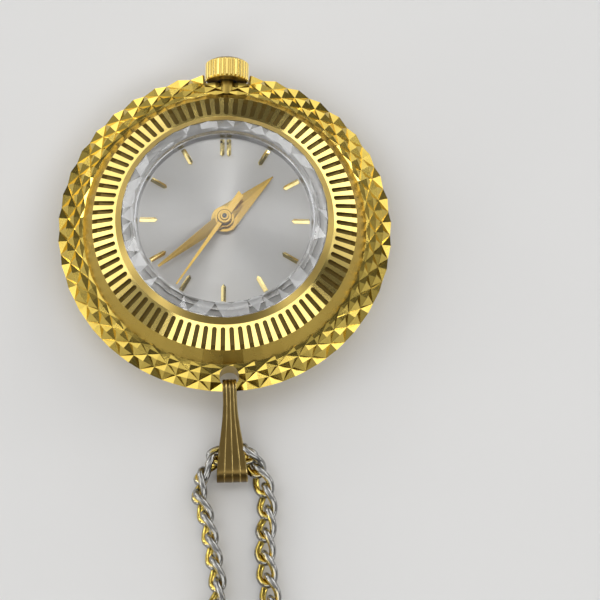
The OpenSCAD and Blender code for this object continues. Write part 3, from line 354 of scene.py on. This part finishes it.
def sunray_silver():
    """Silvered dial, brushed in fine rays from the centre outwards."""
    s = Shader("dial_silver")
    x, y, _ = s.parts()
    turns = s.math("MULTIPLY", s.math("ARCTAN2", y, x), 1 / (2 * math.pi))
    rays = s.noise(s.line(turns), scale=900.0, detail=3.0, roughness=0.7)
    cloud = s.noise(s.place, scale=260.0, detail=3.0)
    tint = s.blend(s.spread(rays, 0.0, 0.35), SILVER, SILVER_DARK)
    aged = s.blend(s.spread(cloud, 0.0, 0.3), tint, SILVER_AGED)
    way_round = {"X": s.math("MULTIPLY", y, -1.0), "Y": x}
    across = s.vector("NORMALIZE", s.add("ShaderNodeCombineXYZ", way_round).outputs["Vector"])
    tangent = s.add(
        "ShaderNodeVectorTransform", {"Vector": across}, convert_from="OBJECT", convert_to="WORLD"
    )
    return s.finish(
        Base_Color=aged, Metallic=0.95, Roughness=s.spread(rays, 0.36, 0.48), Anisotropic=0.95,
        Tangent=tangent.outputs["Vector"]
    )


def acrylic(name, clear, rough):
    """Acrylic with faint scuffs, which lets the light through to the dial."""
    s = Shader(name)
    scuffs = s.noise(s.stretched((1.0, 4.0, 1.0)), scale=1500.0, detail=4.0)
    shadow = s.add("ShaderNodeLightPath").outputs["Is Shadow Ray"]
    return s.finish(
        Base_Color=ACRYLIC, Transmission_Weight=clear, IOR=1.49, Roughness=rough,
        Normal=s.bump(scuffs, 0.001 * MM, strength=0.1), Alpha=s.math("SUBTRACT", 1.0, shadow)
    )


def plain(name, colour, rough, scale=3000.0):
    """Rubber, paper or stone: one tint with a fine uneven surface."""
    s = Shader(name)
    cloud = s.noise(s.place, scale, detail=4.0)
    tint = s.blend(s.spread(cloud, 0.0, 0.6), colour, darker(colour, 0.7))
    return s.finish(Base_Color=tint, Roughness=rough, Normal=s.bump(cloud, 0.01 * MM, strength=0.5))


# Mesh helpers, in mm


def polar(r, angle, z):
    return Vector((r * math.cos(angle), r * math.sin(angle), z))


def ring_faces(rings, sides, closed=True):
    """Faces between rings of points, and end faces where the row of rings isn't closed."""
    made = []
    for i in range(rings if closed else rings - 1):
        k = (i + 1) % rings
        for j in range(sides):
            m = (j + 1) % sides
            made.append([i * sides + j, i * sides + m, k * sides + m, k * sides + j])
    if not closed:
        made.append(list(range(sides))[::-1])
        made.append([(rings - 1) * sides + j for j in range(sides)])
    return made


def add_piece(name, body, points, faces, material, wear_and_highlight=None, corner=math.pi):
    """Smooth mesh from points in mm, sharp where its faces meet at more than the corner angle."""
    mesh = bpy.data.meshes.new(name)
    mesh.from_pydata([p * MM for p in points], [], faces)
    turned = bmesh.new()
    turned.from_mesh(mesh)
    bmesh.ops.recalc_face_normals(turned, faces=turned.faces)
    turned.to_mesh(mesh)
    turned.free()
    mesh.polygons.foreach_set("use_smooth", [True] * len(mesh.polygons))
    mesh.set_sharp_from_angle(angle=corner)
    if wear_and_highlight:
        mesh.attributes.new("wear_and_highlight", "FLOAT", "POINT").data.foreach_set("value", wear_and_highlight)
    mesh.materials.append(material)
    made = bpy.data.objects.new(name, mesh)
    bpy.context.collection.objects.link(made)
    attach(made, body)
    return made


# Bail: a strip folded into a long eye, engraved along its outer face

HINGE_R = 14.8
HINGE_Z = 3.05
HOLE_TURN = math.radians(2.5)
BAIL_L = 7.1
BAIL_T = 0.3
BAIL_HINGE_IN_R = 0.7
BAIL_END_IN_R = 0.86
BAIL_LIFT = 0.02
BAIL_TILT = math.asin((HINGE_Z - BAIL_END_IN_R - BAIL_T - BAIL_LIFT) / BAIL_L)
BAIL_HINGE_R = BAIL_HINGE_IN_R + BAIL_T / 2
BAIL_END_R = BAIL_END_IN_R + BAIL_T / 2
BAIL_REACH = BAIL_L + BAIL_END_IN_R + BAIL_T
BAIL_NECK_W = 1.25
BAIL_NECK_L = 0.7
BAIL_W = 2.8
BAIL_ROUND = 0.08
BAIL_ARC_STEPS = 24
BAIL_RUN_STEPS = 16
BAIL_CORNER = math.radians(30)
# Engraved lines: their places as shares of the half width, and their half width, depth and fade
BAIL_LINES = (-0.5, 0.02, 0.52)
BAIL_LINE_W = 0.05
BAIL_LINE_DEPTH = 0.035
BAIL_LINE_FADE = 0.11
# One line across: place, depth and painted highlight
BAIL_LINE = (
    (BAIL_LINE_FADE, 0.0, 0.0), (BAIL_LINE_W, 0.0, 0.5), (0.0, BAIL_LINE_DEPTH, 0.9),
    (-BAIL_LINE_W, 0.0, 0.5), (-BAIL_LINE_FADE, 0.0, 0.0),
)
# Painted highlight on the two outer edges, brighter on the right
BAIL_RIGHT_HIGHLIGHT = 1.0
BAIL_LEFT_HIGHLIGHT = 0.3


def bail_half(x):
    """Half the strip's width at a distance from the hinge."""
    t = min(1, max(0, (x - BAIL_NECK_L) / (BAIL_REACH - BAIL_NECK_L)))
    return (BAIL_NECK_W + (BAIL_W - BAIL_NECK_W) * t * t * (3 - 2 * t)) / 2


def bail_line():
    """Middle of the strip's thickness all round the eye, with the direction outwards."""
    a = math.pi / 2 - math.asin((BAIL_HINGE_R - BAIL_END_R) / BAIL_L)
    arcs = []
    for step in range(BAIL_ARC_STEPS + 1):
        b = a + (2 * math.pi - 2 * a) * step / BAIL_ARC_STEPS
        arcs.append((BAIL_HINGE_R * math.cos(b), BAIL_HINGE_R * math.sin(b), b))
    for step in range(BAIL_ARC_STEPS + 1):
        b = -a + 2 * a * step / BAIL_ARC_STEPS
        arcs.append((BAIL_L + BAIL_END_R * math.cos(b), BAIL_END_R * math.sin(b), b))
    made = []
    for i, (x, z, b) in enumerate(arcs):
        made.append((x, z, b))
        if i in (BAIL_ARC_STEPS, len(arcs) - 1):
            x1, z1, _ = arcs[(i + 1) % len(arcs)]
            for step in range(1, BAIL_RUN_STEPS):
                u = step / BAIL_RUN_STEPS
                made.append((x + (x1 - x) * u, z + (z1 - z) * u, b))
    return made


def bail_section(half):
    """Section of the strip: (across, outwards, painted highlight) round its edge."""
    made = []
    outer = BAIL_T / 2
    flat = half - BAIL_ROUND
    rise = outer - BAIL_ROUND

    def rounded(y, z, start, wear_and_highlight):
        for turn in (0, 45, 90):
            a = math.radians(start + turn)
            made.append((y + BAIL_ROUND * math.cos(a), z + BAIL_ROUND * math.sin(a), wear_and_highlight))

    # Painted highlight: strong on the right edge, faint on the left, and along the engraved lines
    rounded(-flat, -rise, 180, 0.0)
    rounded(flat, -rise, 270, 0.0)
    rounded(flat, rise, 0, BAIL_RIGHT_HIGHLIGHT)
    made.append((flat - BAIL_LINE_W, outer, 0.0))
    for place in reversed(BAIL_LINES):
        for side, depth, wear_and_highlight in BAIL_LINE:
            made.append((place * half + side, outer - depth, wear_and_highlight))
    rounded(-flat, rise, 90, BAIL_LEFT_HIGHLIGHT)
    return made


def add_bail(finish):
    place = Matrix.Rotation(HOLE_TURN - math.pi / 2, 4, "Z") @ Matrix.Translation((HINGE_R, 0, HINGE_Z))
    place = place @ Matrix.Rotation(BAIL_TILT, 4, "Y")
    line = bail_line()
    points, wear_and_highlight = [], []
    for x, z, b in line:
        section = bail_section(bail_half(x))
        for across, out, marked in section:
            points.append(place @ Vector((x + out * math.cos(b), across, z + out * math.sin(b))))
            wear_and_highlight.append(marked)
    faces = ring_faces(len(line), len(section))
    bail = add_piece("bail_strip", "chain", points, faces, finish, wear_and_highlight, BAIL_CORNER)
    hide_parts("bail")


# Chain: the route that the CAD stretches and coil follow, and finer links along it

CHAIN_REACH = HINGE_R + BAIL_L * math.cos(BAIL_TILT)
CHAIN_AT = polar(CHAIN_REACH, HOLE_TURN - math.pi / 2, 0)
CHAIN_LIFT = Vector((0, 0, 0.1))
RIGHT_ROUTE = [
    (1.35, 1.4, 1.9), (1.85, 1.3, 1.4), (2.4, -0.65, 1.05), (3.2, -2.3, 1), (3.25, -3.5, 0.9),
    (3.1, -5.4, 0.95), (3.05, -8, 0.85), (3.35, -10.4, 0.85), (3.8, -13, 0.9), (4.2, -15.3, 1),
    (5.1, -17.1, 1.1), (6.4, -18.4, 1.2),
]
LEFT_ROUTE = [
    (-1.7, 0.55, 1.5), (-1.5, -0.25, 1.15), (-2.5, -0.6, 1.3), (-3.1, -1.65, 1.15), (-2.2, -4.75, 1.15),
    (-1.6, -7.9, 1.1), (-1.15, -10.4, 1.1), (-1.2, -12.6, 1.25), (-1.9, -15, 1.8), (-3.5, -17, 2.5),
    (-5.6, -18.9, 3.1), (-8.4, -21.1, 3.4),
]
ROUTE_STEPS = 8
# Coil of the length that is put away
COIL_AT = Vector((1.5, -33.6, 0))
COIL_START = math.radians(63)
COIL_D = 1.7
COIL_STEP = COIL_D + 0.52
COIL_IN_R = 4.6
COIL_TURNS = 4.9
COIL_Z = 1.2
COIL_RISE = COIL_D + 0.5
COIL_RINGS = 24
# Links, and the ring through the end of the bail
LINK_L = 3.0
LINK_W = 1.64
LINK_PITCH = 2.1
LINK_TWIST = math.radians(-50)
RING_AT = Vector((0, 1.15, 1.5))
RING_L = 4.1
RING_W = 1.6
WIRE_D = 0.63
WIRE_RINGS = 28
WIRE_SIDES = 8
# Half the angle over which the direction of the wire is taken
WIRE_STEP = 0.03
# Roll of the links in degrees, at the bail and from ROLL_RUN on, and where right changes to left
RIGHT_ROLL = (60, 43)
LEFT_ROLL = (95, 113)
ROLL_RUN = 10.5
ROLL_CHANGE = (12, 8)


def smooth(route):
    """Points of a smooth curve through the route."""
    last = len(route) - 1
    made = []
    for step in range(last * ROUTE_STEPS + 1):
        i = min(step // ROUTE_STEPS, last - 1)
        u = step / ROUTE_STEPS - i
        p0, p1, p2, p3 = (Vector(route[min(max(k, 0), last)]) for k in range(i - 1, i + 3))
        cubic = (3 * p1 - p0 - 3 * p2 + p3) * u ** 3
        made.append((2 * p1 + (p2 - p0) * u + (2 * p0 - 5 * p1 + 4 * p2 - p3) * u ** 2 + cubic) / 2)
    return made


def coil_route():
    """The wound turns: in on the lower layer, up, and out on the upper layer."""
    made = []
    for step in range(round(COIL_TURNS * 2 * COIL_RINGS) + 1):
        t = step / COIL_RINGS - COIL_TURNS
        radius = COIL_IN_R + COIL_STEP * abs(t)
        angle = COIL_START - 2 * math.pi * (t + COIL_TURNS)
        height = COIL_Z + COIL_RISE * min(1, max(0, t * 2 + 0.5))
        made.append(COIL_AT + polar(radius, angle, height))
    return made


def points_along(path, count):
    """count + 1 points at equal distances along a path."""
    runs = [0.0]
    for a, b in zip(path, path[1:]):
        runs.append(runs[-1] + (b - a).length)
    made = []
    i = 0
    for k in range(count + 1):
        s = runs[-1] * k / count
        while i < len(path) - 2 and runs[i + 1] < s:
            i += 1
        share = (s - runs[i]) / (runs[i + 1] - runs[i])
        made.append(path[i].lerp(path[i + 1], share))
    return made


def path_length(path):
    return sum((b - a).length for a, b in zip(path, path[1:]))


def between(keys, s):
    """Value at s on the straight lines between keys of place and value."""
    for (s0, v0), (s1, v1) in zip(keys, keys[1:]):
        if s <= s1:
            return v0 + (v1 - v0) * max(0, s - s0) / (s1 - s0)
    return keys[-1][1]


def link_frame(forward, roll):
    """Directions along, across and up from a link that is rolled about its length."""
    side = Vector((0, 0, 1)).cross(forward).normalized()
    up = forward.cross(side)
    return forward, side * math.cos(roll) + up * math.sin(roll), up * math.cos(roll) - side * math.sin(roll)


def twisted_oval(a):
    across = LINK_W / 2 * math.sin(a)
    turn = LINK_TWIST * math.cos(a)
    return Vector((LINK_L / 2 * math.cos(a), across * math.cos(turn), across * math.sin(turn)))


def flat_oval(a):
    return Vector((RING_L / 2 * math.cos(a), RING_W / 2 * math.sin(a), 0))


class Wire:
    """Collects closed loops of round wire in one mesh, with how worn each point is."""

    def __init__(self):
        self.points, self.faces, self.wear_and_highlight = [], [], []

    def loop(self, curve, centre, axes):
        base = len(self.points)
        for i in range(WIRE_RINGS):
            a = 2 * math.pi * i / WIRE_RINGS
            middle = curve(a)
            along = (curve(a + WIRE_STEP) - curve(a - WIRE_STEP)).normalized()
            out = along.cross(middle.cross(along)).normalized()
            up = along.cross(out)
            for j in range(WIRE_SIDES):
                b = 2 * math.pi * j / WIRE_SIDES
                p = middle + WIRE_D / 2 * (math.cos(b) * out + math.sin(b) * up)
                self.points.append(centre + p.x * axes[0] + p.y * axes[1] + p.z * axes[2])
                self.wear_and_highlight.append(0.5 + 0.5 * math.cos(b))
        for face in ring_faces(WIRE_RINGS, WIRE_SIDES):
            self.faces.append([base + c for c in face])

    def row(self, path, rolls):
        """Links at equal distances along a path, rolled as the list of distance and angle says."""
        whole = path_length(path)
        count = math.floor(whole / LINK_PITCH)
        ends = points_along(path, count)
        for i, (a, b) in enumerate(zip(ends, ends[1:])):
            angle = math.radians(between(rolls, whole * (i + 0.5) / count))
            self.loop(twisted_oval, (a + b) / 2, link_frame((b - a).normalized(), angle))

    def build(self, name, material):
        placed = [CHAIN_AT + CHAIN_LIFT + p for p in self.points]
        return add_piece(name, "chain", placed, self.faces, material, self.wear_and_highlight)


def add_chain(finish, tie):
    right, left, coil = smooth(RIGHT_ROUTE), smooth(LEFT_ROUTE), coil_route()
    route = right + coil + left[::-1]
    whole = path_length(route)
    to_left = whole - path_length(left)
    wire = Wire()
    wire.row(route, [
        (0, RIGHT_ROLL[0]), (ROLL_RUN, RIGHT_ROLL[1]), (to_left - ROLL_CHANGE[0], RIGHT_ROLL[1]),
        (to_left + ROLL_CHANGE[1], LEFT_ROLL[1]), (whole - ROLL_RUN, LEFT_ROLL[1]), (whole, LEFT_ROLL[0])
    ])
    chain = wire.build("chain", finish)
    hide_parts("chain_right", "chain_left", "chain_coil")
    ring_wire = Wire()
    ring_wire.loop(flat_oval, RING_AT, link_frame(Vector((1, 0, 0)), 0))
    ring = ring_wire.build("bail_ring", finish)
    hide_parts("bail_link")


# Tie: a flat paper tie with a wire core round one side of the coil, its ends twisted together

TIE_W = 2.0
TIE_T = 0.25
# Middle of the strip's thickness: from and to a distance from the coil's centre, and a height
TIE_X = (2.775, 17.305)
TIE_Z = (0.125, 4.475)
TIE_ROUND = 0.8
TIE_ROUND_STEPS = 8
TIE_CORE = 0.3
TIE_CORNER = math.radians(40)
# Twisted ends: where they lie along the tie, and how far they reach behind it as a share
TAIL_AT = 10.0
TAIL_W = 1.1
TAIL_L = 5.0
TAIL_BEHIND = 0.25
TAIL_Z = TIE_Z[1] + TAIL_W / 2 + 0.1
TAIL_TURNS = 2.5
TAIL_STEPS = 40


def tie_line():
    """Rounded loop in the plane of the tie, with the direction outwards."""
    made = []
    for i, j, start in ((1, 1, 0), (0, 1, 90), (0, 0, 180), (1, 0, 270)):
        x = TIE_X[i] + (TIE_ROUND if i == 0 else -TIE_ROUND)
        z = TIE_Z[j] + (TIE_ROUND if j == 0 else -TIE_ROUND)
        for step in range(TIE_ROUND_STEPS + 1):
            a = math.radians(start + 90 * step / TIE_ROUND_STEPS)
            made.append((x + TIE_ROUND * math.cos(a), z + TIE_ROUND * math.sin(a), a))
    return made


def tie_section(width):
    """Section of the tie: flat paper with a rib over the wire core."""
    h, t, c = width / 2, TIE_T / 2, TIE_CORE
    return [(-h, -t), (h, -t), (h, t / 2), (c, t / 2), (c / 2, t), (-c / 2, t), (-c, t / 2), (-h, t / 2)]


def add_tie(finish):
    place = Matrix.Translation(CHAIN_AT + COIL_AT) @ Matrix.Rotation(-math.pi / 2, 4, "Z")
    line = tie_line()
    section = tie_section(TIE_W)
    points = []
    for x, z, a in line:
        for across, out in section:
            points.append(place @ Vector((x + out * math.cos(a), across, z + out * math.sin(a))))
    faces = ring_faces(len(line), len(section))
    base = len(points)
    tail = tie_section(TAIL_W)
    for step in range(TAIL_STEPS + 1):
        u = step / TAIL_STEPS
        a = 2 * math.pi * TAIL_TURNS * u
        for across, out in tail:
            x = across * math.cos(a) - out * math.sin(a)
            z = across * math.sin(a) + out * math.cos(a)
            points.append(place @ Vector((TAIL_AT + x, TAIL_L * (u - TAIL_BEHIND), TAIL_Z + z)))
    faces += [[base + c for c in face] for face in ring_faces(TAIL_STEPS + 1, len(tail), False)]
    tie = add_piece("twist_tie", "chain", points, faces, finish, corner=TIE_CORNER)
    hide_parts("chain_tie")
    return tie


# Steel cap on the pivot that carries the seconds hand: radius and height of its rings

PIN_RINGS = ((0.215, 7.992), (0.215, 8.04), (0.18, 8.08), (0.09, 8.1))
PIN_SIDES = 24
PIN_CORNER = math.radians(50)


def add_pin(finish):
    points = [polar(r, 2 * math.pi * j / PIN_SIDES, z) for r, z in PIN_RINGS for j in range(PIN_SIDES)]
    faces = ring_faces(len(PIN_RINGS), PIN_SIDES, False)
    pin = add_piece("seconds_pivot", "seconds", points, faces, finish, corner=PIN_CORNER)


# Crystal: a clear dome whose edge is cut in triangles, some of them ground

CRYSTAL_R = 9.29
CRYSTAL_FOOT = 6.53
CRYSTAL_SEAT = 7.45
CRYSTAL_EDGE_R = 8.34
CRYSTAL_EDGE_Z = 8.4
CRYSTAL_RISE = 1.1
CRYSTAL_RIM_R = CRYSTAL_EDGE_R - 0.22
CRYSTAL_IN_R = 8.04
CRYSTAL_IN_Z = 7.85
CRYSTAL_IN_RISE = 0.9
CRYSTAL_CUTS = 36
CRYSTAL_FLAT_R = CRYSTAL_R * math.cos(math.pi / CRYSTAL_CUTS)
# Wall inside the flats of the cuts, the step from it to the cuts, and the fold in each cut
CRYSTAL_WALL_R = CRYSTAL_FLAT_R - 0.02
CRYSTAL_STEP = 0.01
CRYSTAL_FOLD_R = CRYSTAL_FLAT_R - 0.1
CRYSTAL_CORNER = math.radians(30)
DOME_RINGS = 12
# Finish of one cut after another: 0 clear, 1 ground
GROUND = (1, 0, 0, 1, 0, 1, 1, 0, 0, 0, 1)


def dome_z(r, edge_r, edge_z, rise):
    """Height of a dome at a radius."""
    ball = (edge_r ** 2 + rise ** 2) / (2 * rise)
    return edge_z + rise - ball + math.sqrt(ball ** 2 - r ** 2)


def outer_z(r):
    return dome_z(r, CRYSTAL_EDGE_R, CRYSTAL_EDGE_Z, CRYSTAL_RISE)


def inner_z(r):
    return dome_z(r, CRYSTAL_IN_R, CRYSTAL_IN_Z, CRYSTAL_IN_RISE)


class Crystal:
    """Collects the crystal's points and faces, with the finish of each face."""

    def __init__(self):
        self.points, self.faces, self.ground, self.flat = [], [], [], []

    def ring(self, radii, z):
        """Ring of points; the radii take turns."""
        base = len(self.points)
        count = 2 * CRYSTAL_CUTS
        for j in range(count):
            self.points.append(polar(radii[j % len(radii)], 2 * math.pi * j / count, z))
        return [base + j for j in range(count)]

    def face(self, corners, ground=0, flat=False):
        self.faces.append(corners)
        self.ground.append(ground)
        self.flat.append(flat)

    def skin(self, lower, upper):
        count = len(lower)
        for j in range(count):
            k = (j + 1) % count
            self.face([lower[j], lower[k], upper[k], upper[j]])

    def dome(self, start, r, height, up):
        """Rings from a circle to the middle, which faces up or down."""
        last = start
        for i in range(DOME_RINGS - 1, 0, -1):
            ring = self.ring([r * i / DOME_RINGS], height(r * i / DOME_RINGS))
            if up:
                self.skin(last, ring)
            else:
                self.skin(ring, last)
            last = ring
        self.face(last if up else last[::-1])

    def cut_edge(self, foot, rim):
        """Triangles from the corners of the foot to the rim, folded in the middle of each side."""
        count = CRYSTAL_CUTS
        edge = [len(self.points) + i for i in range(count)]
        for i in range(count):
            self.points.append(polar(CRYSTAL_EDGE_R, 2 * math.pi * (i + 0.5) / count, CRYSTAL_EDGE_Z))
        for i in range(count):
            k = (i + 1) % count
            corner, middle, after = foot[2 * i], foot[2 * i + 1], foot[2 * k]
            cuts = (
                ([corner, middle, edge[i]], i),
                ([middle, after, edge[i]], 3 * i + 1),
                ([after, edge[k], edge[i]], 5 * i + 2),
                ([edge[i], rim[2 * k], rim[2 * i + 1]], 2 * i + 3),
                ([edge[i], edge[k], rim[2 * k]], 4 * i + 1),
            )
            for corners, turn in cuts:
                self.face(corners, GROUND[turn % len(GROUND)], True)
            self.face([edge[k], rim[2 * k + 1], rim[2 * k]], 0, True)


def add_crystal(clear, ground):
    c = Crystal()
    bottom = c.ring([CRYSTAL_WALL_R], CRYSTAL_FOOT)
    seat = c.ring([CRYSTAL_WALL_R], CRYSTAL_SEAT)
    foot = c.ring([CRYSTAL_R, CRYSTAL_FOLD_R], CRYSTAL_SEAT + CRYSTAL_STEP)
    rim = c.ring([CRYSTAL_RIM_R], outer_z(CRYSTAL_RIM_R))
    in_low = c.ring([CRYSTAL_IN_R], CRYSTAL_FOOT)
    in_top = c.ring([CRYSTAL_IN_R], CRYSTAL_IN_Z)
    c.skin(bottom, seat)
    c.skin(seat, foot)
    c.cut_edge(foot, rim)
    c.dome(rim, CRYSTAL_RIM_R, outer_z, True)
    c.skin(in_low, bottom)
    c.skin(in_top, in_low)
    c.dome(in_top, CRYSTAL_IN_R, inner_z, False)
    crystal = add_piece("cut_crystal", "case", c.points, c.faces, clear, corner=CRYSTAL_CORNER)
    crystal.data.materials.append(ground)
    crystal.data.polygons.foreach_set("material_index", c.ground)
    crystal.data.polygons.foreach_set("use_smooth", [not flat for flat in c.flat])
    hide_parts("crystal")


# Studio, in metres

FLOOR_HALF = 1.5
FLOOR_ROUGH = 0.7
# Brightness of the sky at the horizon and overhead
SKY_LOW = 0.1
SKY_HIGH = 0.45
SKY_AXIS = Vector((-0.42, 0.2, 0.88)).normalized()
SKY_CAP = (0.55, 1.0)
# Soft band of light overhead: the normal of its plane, its edges, and where it ends towards the horizon
BAND_NORMAL = Vector((0.04, 0.955, -0.297)).normalized()
BAND_EDGES = (0.02, 0.2)
BAND_ENDS = (0.35, 0.7)
BAND_HIGH = 1.1
# Soft boxes: name, place, size and power
BOXES = (
    ("left_box", (-0.473, 0.172, 0.327), (1.2, 0.35), 1.6),
    ("right_box", (0.375, 0.375, 0.282), (0.48, 0.3), 1.0),
    ("front_box", (0.1, -0.35, 0.485), (0.85, 0.26), 1.35),
)
# Small low panels all round, for glints on the cut edges: directions in degrees, place, size and power
PANEL_ANGLES = (-40, 12, 48, 96, 150, 188, 225)
PANEL_R = 0.6
PANEL_Z = 0.1
PANEL_SIZE = (0.15, 0.09)
PANEL_POWER = 0.3


def add_stage():
    corners = [(-FLOOR_HALF, -FLOOR_HALF, 0), (FLOOR_HALF, -FLOOR_HALF, 0)]
    corners += [(FLOOR_HALF, FLOOR_HALF, 0), (-FLOOR_HALF, FLOOR_HALF, 0)]
    mesh = bpy.data.meshes.new("floor")
    mesh.from_pydata(corners, [], [(0, 1, 2, 3)])
    mesh.materials.append(Shader("floor").finish(Base_Color=FLOOR, Roughness=FLOOR_ROUGH))
    floor = bpy.data.objects.new("floor", mesh)
    bpy.context.collection.objects.link(floor)


def add_lamp(name, place, size, power):
    """Rectangular lamp that faces the origin."""
    data = bpy.data.lights.new(name, "AREA")
    data.shape = "RECTANGLE"
    data.size, data.size_y = size
    data.energy = power
    lamp = bpy.data.objects.new(name, data)
    lamp.location = place
    lamp.rotation_mode = "QUATERNION"
    lamp.rotation_quaternion = (-Vector(place)).to_track_quat("-Z", "Y")
    bpy.context.collection.objects.link(lamp)


def add_sky():
    """World that is light overhead and to the left, with a soft band of light from left to right."""
    world = bpy.data.worlds.new("studio")
    world.use_nodes = True
    sky = Nodes(world.node_tree)
    way = sky.add("ShaderNodeTexCoord").outputs["Generated"]
    to_axis = sky.vector("DOT_PRODUCT", way, SKY_AXIS)
    cap = sky.spread(to_axis, SKY_LOW, SKY_HIGH, *SKY_CAP, shape="SMOOTHSTEP")
    off_band = sky.math("ABSOLUTE", sky.vector("DOT_PRODUCT", way, BAND_NORMAL))
    band = sky.spread(off_band, BAND_HIGH, 0.0, *BAND_EDGES, shape="SMOOTHSTEP")
    height = sky.vector("DOT_PRODUCT", way, (0.0, 0.0, 1.0))
    upper = sky.spread(height, 0.0, 1.0, *BAND_ENDS, shape="SMOOTHSTEP")
    background = sky.nodes["Background"]
    background.inputs["Color"].default_value = rgb(1, 1, 1)
    sky.set(background.inputs["Strength"], sky.math("ADD", cap, sky.math("MULTIPLY", band, upper)))
    bpy.context.scene.world = world


def add_light():
    add_sky()
    for box in BOXES:
        add_lamp(*box)
    for i, angle in enumerate(PANEL_ANGLES):
        add_lamp(f"panel_{i}", polar(PANEL_R, math.radians(angle), PANEL_Z), PANEL_SIZE, PANEL_POWER)
    bpy.context.scene.view_settings.view_transform = "Standard"


# Finishes of the CAD pieces


def dress():
    finishes = {
        case_gilt(): ["case_body"],
        bezel_gilt(): ["bezel"],
        crown_gilt(): ["crown"],
        Gilt("gilt_hand", HAND, HAND_DEEP, HAND_ROUGH).made(): ["hour_hand", "minute_hand"],
        seconds_gilt(): ["second_hand"],
        Gilt("gilt_marker", MARKER, MARKER_DEEP, (0.04, 0.12)).made(): ["hour_markers"],
        # Crown tube darkened as painted shade of its recess
        Gilt("tube_shaded_gilt", TUBE_SHADED, TUBE_SHADED_DEEP, (0.25, 0.38)).made(): ["crown_tube"],
        turned_steel(): ["case_back"],
        sunray_silver(): ["dial"],
        metal("steel", STEEL, 0.25): [
            "crystal_ring", "stem", "winding_pinion", "clutch_wheel", "setting_lever",
            "ratchet_wheel", "ratchet_screw", "crown_wheel", "crown_wheel_screw", "click", "barrel_arbor",
            "pallet_fork", "escape_wheel", "mainspring", "setting_wheel", "cannon_pinion", "bridge_screws",
        ],
        metal("brass", BRASS, 0.25): [
            "movement_ring", "hour_wheel", "minute_wheel", "barrel", "centre_wheel",
            "third_wheel", "fourth_wheel", "balance_wheel",
        ],
        metal("nickel", NICKEL, 0.25): [
            "main_plate", "barrel_bridge", "train_bridge", "balance_cock", "pallet_cock",
        ],
        metal("blued_steel", BLUED, 0.2): ["hairspring"],
        plain("ruby", RUBY, 0.08, scale=1500.0): ["jewels"],
        plain("rubber", RUBBER, 0.6): ["crown_gasket"],
    }
    for finish, names in finishes.items():
        for name in names:
            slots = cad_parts[name].data.materials
            slots.clear()
            slots.append(finish)


add_camera()
add_stage()
add_light()
dress()
add_crystal(acrylic("acrylic", clear=1.0, rough=0.0), acrylic("acrylic_ground", clear=0.65, rough=0.2))
# Pivot cap in dark steel: a painted dark reflection
add_pin(metal("pivot_steel", PIVOT_DARKENED, 0.14))
add_bail(shaded_bail())
add_chain(plated_chain(), add_tie(plain("tie_paper", PAPER, 0.8)))
